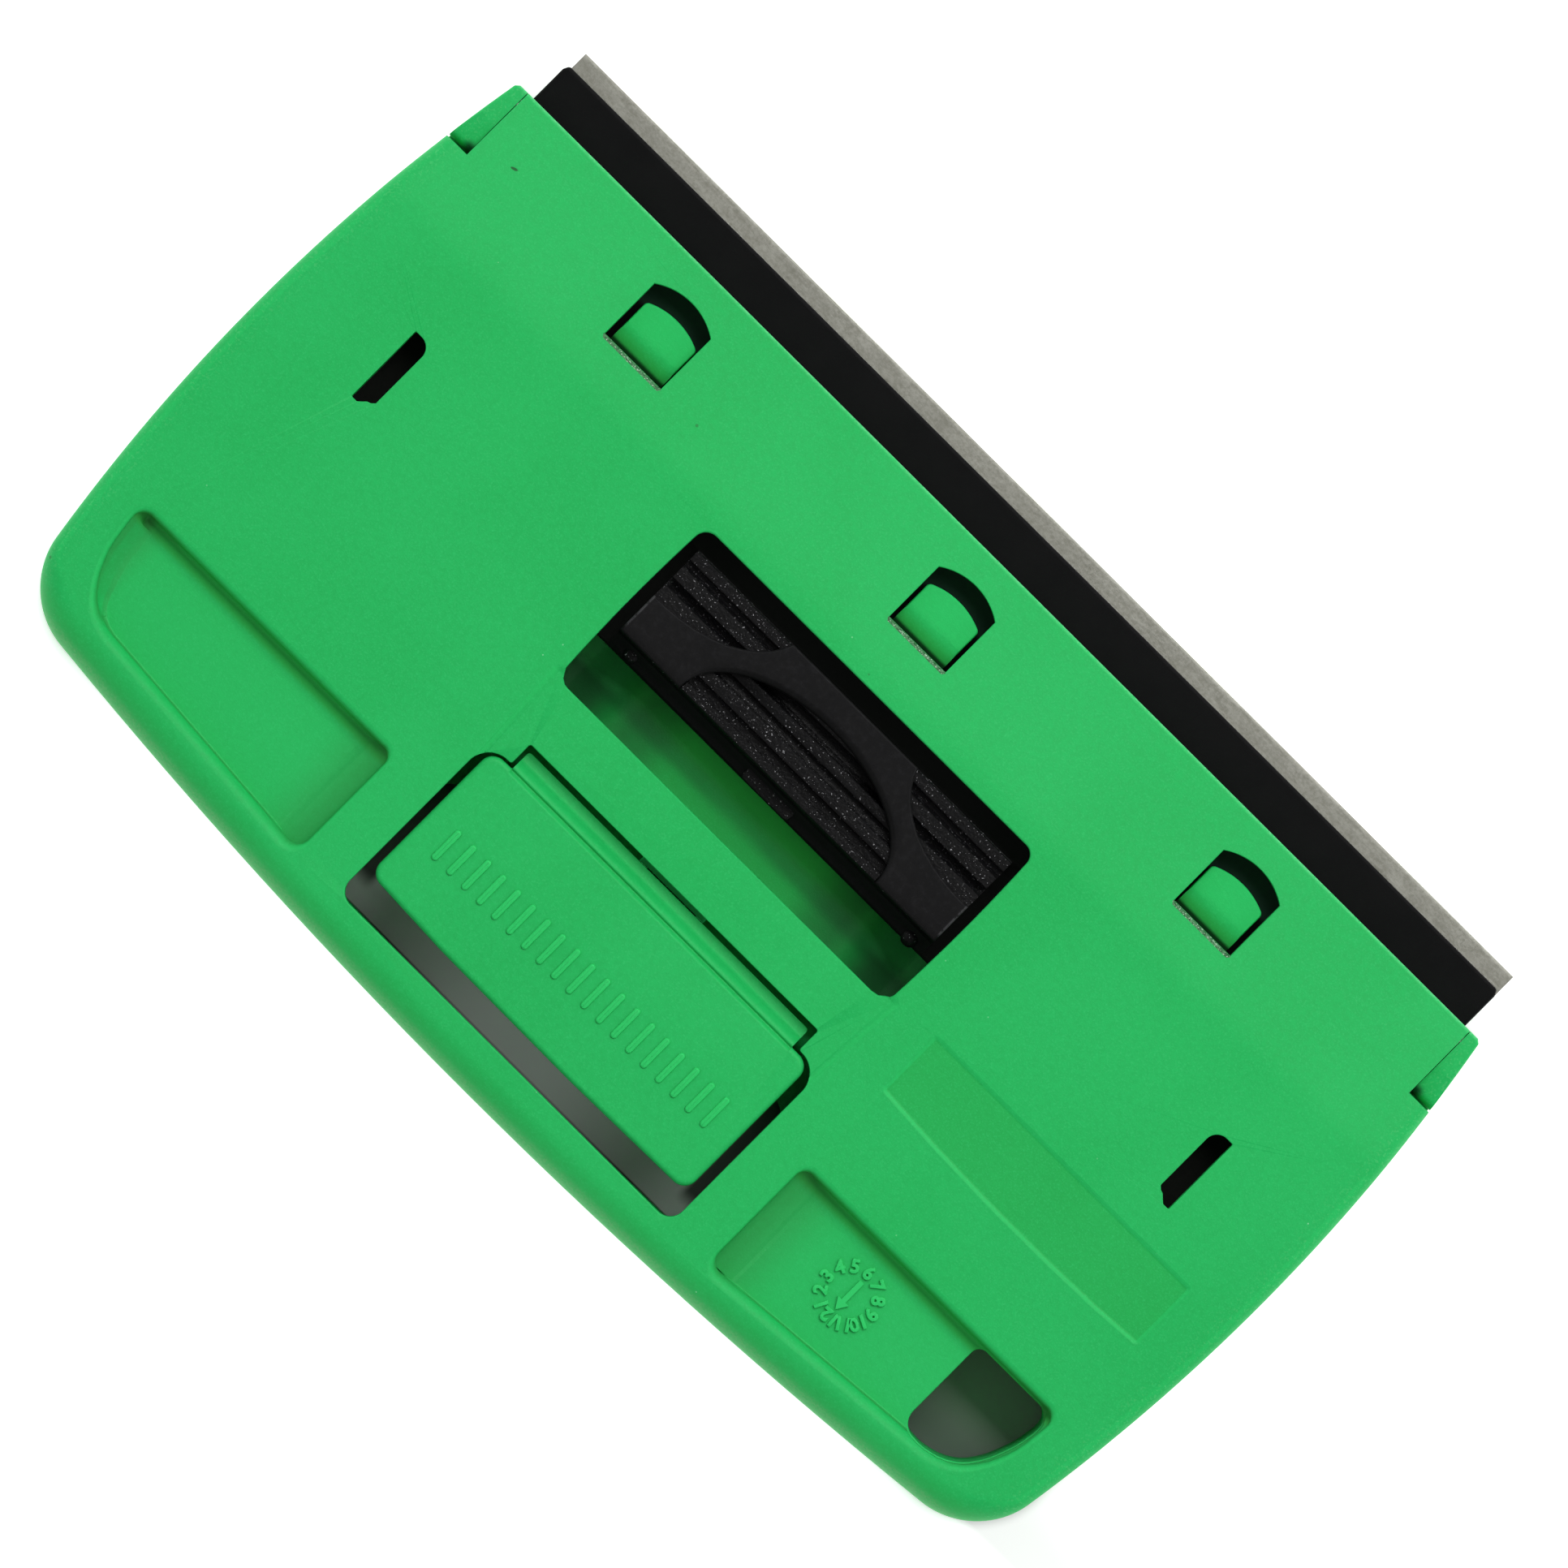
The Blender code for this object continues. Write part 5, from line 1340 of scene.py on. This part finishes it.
for side in (-1, 1):
    xs = sorted((side * 7.0, side * 12.0))
    join(flap, soften(along_x(
        f"flap_hook_{side:+d}",
        [(-8.8, 6.6), (-10.0, 6.6), (-10.0, 3.5), (-11.0, 3.5), (-11.0, 2.9), (-10.4, 2.4), (-8.8, 2.4)],
        *xs,
    ), 0.12))
cut(
    flap,
    box("spring_bay", -3.4, 3.4, -11.9, -7.0, 4.0, 9.25),
    rod("flap_pivot_hole", 0.7, (-19, PIVOT_Y, PIVOT_Z), (19, PIVOT_Y, PIVOT_Z), 32),
)
for x in (-15.2, 15.2):
    join(flap, soften(along_x(
        f"flap_rib_{x:+.0f}", [(-11.6, 9.4), (-11.6, 8.2), (-22.5, 8.2), (-24.0, 9.4)], x - 0.6, x + 0.6,
    ), 0.12))
# raised grip bars across the middle
grips = []
for k in range(19):
    gx = -14.6 + 28.8 * k / 18
    bar = rounded([(gx - 0.30, -20.45, 0.29), (gx + 0.30, -20.45, 0.29), (gx + 0.30, -17.4, 0.29), (gx - 0.30, -17.4, 0.29)], 18)
    grips.append(block(f"grip_{k}", bar, 10.5, 10.995, top_r=0.19, steps=4))
join(flap, *grips)
finished(flap, [GREEN], "push_flap", ["release_flap"])

# ---------------------------------------------------------------- pins and spring
for side, name in ((-1, "left"), (1, "right")):
    pin = turned(
        f"hinge_pin_{name}_turned", (side * 47.9, HINGE_Y, HINGE_Z), (side * 51.8, HINGE_Y, HINGE_Z),
        [(0.0, 0.42), (0.08, 0.55), (0.2, 0.6), (3.7, 0.6), (3.82, 0.55), (3.9, 0.42)],
    )
    finished(pin, [PIN_STEEL], "lower_case", [f"hinge_pin_{name}"])
pin = turned(
    "flap_pin_turned", (-18.3, PIVOT_Y, PIVOT_Z), (18.3, PIVOT_Y, PIVOT_Z),
    [(0.0, 0.4), (0.1, 0.54), (0.25, 0.6), (36.35, 0.6), (36.5, 0.54), (36.6, 0.4)],
)
finished(pin, [PIN_STEEL], "cover", ["flap_pin"])

path = [(-2.4, -15.6, 8.62), (-2.4, -14.5, 8.61), (-2.4, -13.4, 8.6), (-2.4, -12.4, 8.53), (-2.4, -11.6, 8.42), (-2.4, -11.1, 8.30), (-2.4, -10.6, 8.17)]
turns, steps = 7.0, 28
for k in range(int(turns * steps) + 1):
    share = k / (turns * steps)
    turn = math.radians(90) - 2 * math.pi * k / steps
    path.append((-2.4 + 4.8 * share, PIVOT_Y + 1.02 * math.cos(turn), PIVOT_Z + 1.02 * math.sin(turn)))
path += [(2.4, -9.6, 8.10), (2.4, -9.2, 8.05), (2.4, -8.2, 7.85), (2.4, -7.4, 7.68), (2.4, -6.6, 7.5)]
curve = bpy.data.curves.new("flap_spring_wire", "CURVE")
curve.dimensions = "3D"
curve.bevel_depth = 0.25 * MM
curve.bevel_resolution = 3
curve.use_fill_caps = True
spline = curve.splines.new("POLY")
spline.points.add(len(path) - 1)
for point, spot in zip(spline.points, path):
    point.co = (spot[0] * MM, spot[1] * MM, spot[2] * MM, 1.0)
holder = put("flap_spring_holder", curve)
bpy.context.view_layer.update()
graph = bpy.context.evaluated_depsgraph_get()
mesh = bpy.data.meshes.new_from_object(holder.evaluated_get(graph))
bpy.data.objects.remove(holder, do_unlink=True)
bpy.data.curves.remove(curve)
spring = put("flap_spring_wound", mesh)
finished(spring, [SPRING_STEEL], "push_flap", ["flap_spring"], smooth=60)

# ---------------------------------------------------------------- floor, light, camera
floor_mesh = bpy.data.meshes.new("floor")
floor_mesh.from_pydata([(-3, -3, 0), (3, -3, 0), (3, 3, 0), (-3, 3, 0)], [], [(0, 1, 2, 3)])
floor = bpy.data.objects.new("floor", floor_mesh)
bpy.context.scene.collection.objects.link(floor)
floor.location.z = -0.00005
paper = Finish("pale_floor")
px, py, pz, side_away, rear_away = from_edges(paper)
# painted light: the floor glows outside the shells' outline, from their edge outwards, and so washes out the object's
# shadows next to it
beyond = paper.math("MAXIMUM", paper.math("MULTIPLY", side_away, -1.0), paper.math("MULTIPLY", rear_away, -1.0))
beyond = paper.math("MAXIMUM", beyond, paper.math("SUBTRACT", py, 29.5))
corner_x, corner_y = corner_centre()
past_x = paper.math("MAXIMUM", paper.math("SUBTRACT", paper.math("ABSOLUTE", px), corner_x), 0.0)
past_y = paper.math("MAXIMUM", paper.math("SUBTRACT", corner_y, py), 0.0)
round_out = paper.math("SQRT", paper.math("ADD", paper.math("MULTIPLY", past_x, past_x), paper.math("MULTIPLY", past_y, past_y)))
beyond = paper.math("MAXIMUM", beyond, paper.math("SUBTRACT", round_out, CORNER_R))
beside_lip = paper.math("MINIMUM", paper.math("SUBTRACT", py, 26.2), paper.math("SUBTRACT", paper.math("ABSOLUTE", px), 50.3))
beyond = paper.math("MAXIMUM", beyond, beside_lip)
glow = paper.span(beyond, -0.9, 1.3)
# painted light: the floor glows a little under the middle of the flap's gap
gap = paper.math("MULTIPLY", paper.span(paper.math("ABSOLUTE", px), 15.0, 2.0), paper.math("MULTIPLY", paper.span(py, -28.6, -28.2), paper.span(py, -23.0, -23.6)))
glow = paper.math("MAXIMUM", glow, paper.math("MULTIPLY", gap, 0.065))
paper.feed(paper.shader.inputs["Emission Color"], paper.mix(glow, (0.0, 0.0, 0.0), (1.0, 1.0, 1.0)))
paper.shader.inputs["Emission Strength"].default_value = 0.85
paper.bump([(paper.noise(1.2, 2.0, 0.5), 0.005)])
sheet = paper.mix(paper.span(paper.noise(60.0, 2.0, 0.5), 0.3, 0.7), (0.90, 0.90, 0.90), (0.92, 0.92, 0.92))
# painted shade: the floor seen down the hanging hole is darkened in its colour, less towards the rear
shaded = paper.math("MULTIPLY", paper.span(px, 37.0, 39.0), paper.math("MULTIPLY", paper.span(py, -28.5, -27.5), paper.span(py, -15.5, -16.5)))
sheet = paper.mix(shaded, sheet, paper.mix(paper.span(py, -25.5, -20.5), (0.165, 0.195, 0.170), (0.38, 0.42, 0.38)))
# painted shade on the floor under the flap's side gaps and along the rear wall of its opening
aside = paper.math("MULTIPLY", paper.span(paper.math("ABSOLUTE", px), 16.4, 17.2), paper.span(paper.math("ABSOLUTE", px), 19.5, 19.0))
aside = paper.math("MULTIPLY", aside, paper.math("MULTIPLY", paper.span(py, -26.2, -24.6), paper.span(py, -10.0, -11.0)))
last = paper.math("MULTIPLY", paper.span(py, -27.25, -27.45), paper.math("MULTIPLY", paper.span(py, -28.6, -28.3), paper.span(paper.math("ABSOLUTE", px), 19.5, 19.0)))
sheet = paper.mix(paper.math("MAXIMUM", paper.math("MULTIPLY", aside, 0.88), paper.math("MULTIPLY", last, 0.9)), sheet, (0.02, 0.03, 0.02))
paper.set(
    base=sheet, rough=0.9, spec=0.1,
)
floor.data.materials.append(paper.material)

world = bpy.data.worlds.new("soft_studio")
bpy.context.scene.world = world
world.use_nodes = True
nodes, links = world.node_tree.nodes, world.node_tree.links
ground = nodes["Background"]
where = nodes.new("ShaderNodeTexCoord")
parts_of = nodes.new("ShaderNodeSeparateXYZ")
links.new(where.outputs["Generated"], parts_of.inputs[0])
ramp = nodes.new("ShaderNodeValToRGB")
ramp.color_ramp.interpolation = "EASE"
ramp.color_ramp.elements[0].position = 0.05
ramp.color_ramp.elements[0].color = (0.85, 0.85, 0.85, 1.0)
ramp.color_ramp.elements[1].position = 0.85
ramp.color_ramp.elements[1].color = (0.26, 0.26, 0.26, 1.0)
links.new(parts_of.outputs[2], ramp.inputs[0])
links.new(ramp.outputs[0], ground.inputs[0])
ground.inputs[1].default_value = 1.0


def softbox(name, azimuth, elevation, distance, width, height, power):
    """An area light on the compass bearing azimuth (0 is +Y, 90 is +X), aimed at the object."""
    light = bpy.data.lights.new(name, "AREA")
    light.shape = "RECTANGLE"
    light.size, light.size_y = width, height
    light.energy = power
    lamp = bpy.data.objects.new(name, light)
    a, e = math.radians(azimuth), math.radians(elevation)
    away = Vector((math.sin(a) * math.cos(e), math.cos(a) * math.cos(e), math.sin(e)))
    lamp.location = away * distance
    lamp.rotation_mode = "QUATERNION"
    lamp.rotation_quaternion = away.to_track_quat("Z", "Y")
    bpy.context.scene.collection.objects.link(lamp)
    return lamp


softbox("key_from_blade_side", 0, 56, 0.9, 0.8, 0.5, 6.0)
softbox("fill_left", -90, 38, 0.9, 0.5, 0.4, 0.35)
softbox("fill_right", 90, 38, 0.9, 0.5, 0.4, 0.35)

camera_data = bpy.data.cameras.new("overhead")
camera_data.sensor_width = 36.0
camera_data.sensor_fit = "HORIZONTAL"
DISTANCE, FRAME_W, FRAME_Z = 1300.0, 119.6, 8.0
camera_data.lens = 36.0 * DISTANCE / FRAME_W
camera = bpy.data.objects.new("overhead", camera_data)
bpy.context.scene.collection.objects.link(camera)
lean = math.radians(44.874)
right = Vector((math.cos(lean), math.sin(lean), 0.0))
upward = Vector((-math.sin(lean), math.cos(lean), 0.0))
back = right.cross(upward)
turn = Matrix((right, upward, back)).transposed()
camera.matrix_world = Matrix.Translation((0.3 * MM, 2.5 * MM, (FRAME_Z + DISTANCE) * MM)) @ turn.to_4x4()
camera_data.clip_start, camera_data.clip_end = 0.01, 20.0
bpy.context.scene.camera = camera
bpy.context.scene.view_settings.view_transform = "Standard"
bpy.context.scene.view_settings.look = "None"

for tool in list(TOOLS.objects):
    bpy.data.objects.remove(tool, do_unlink=True)
bpy.data.collections.remove(TOOLS)
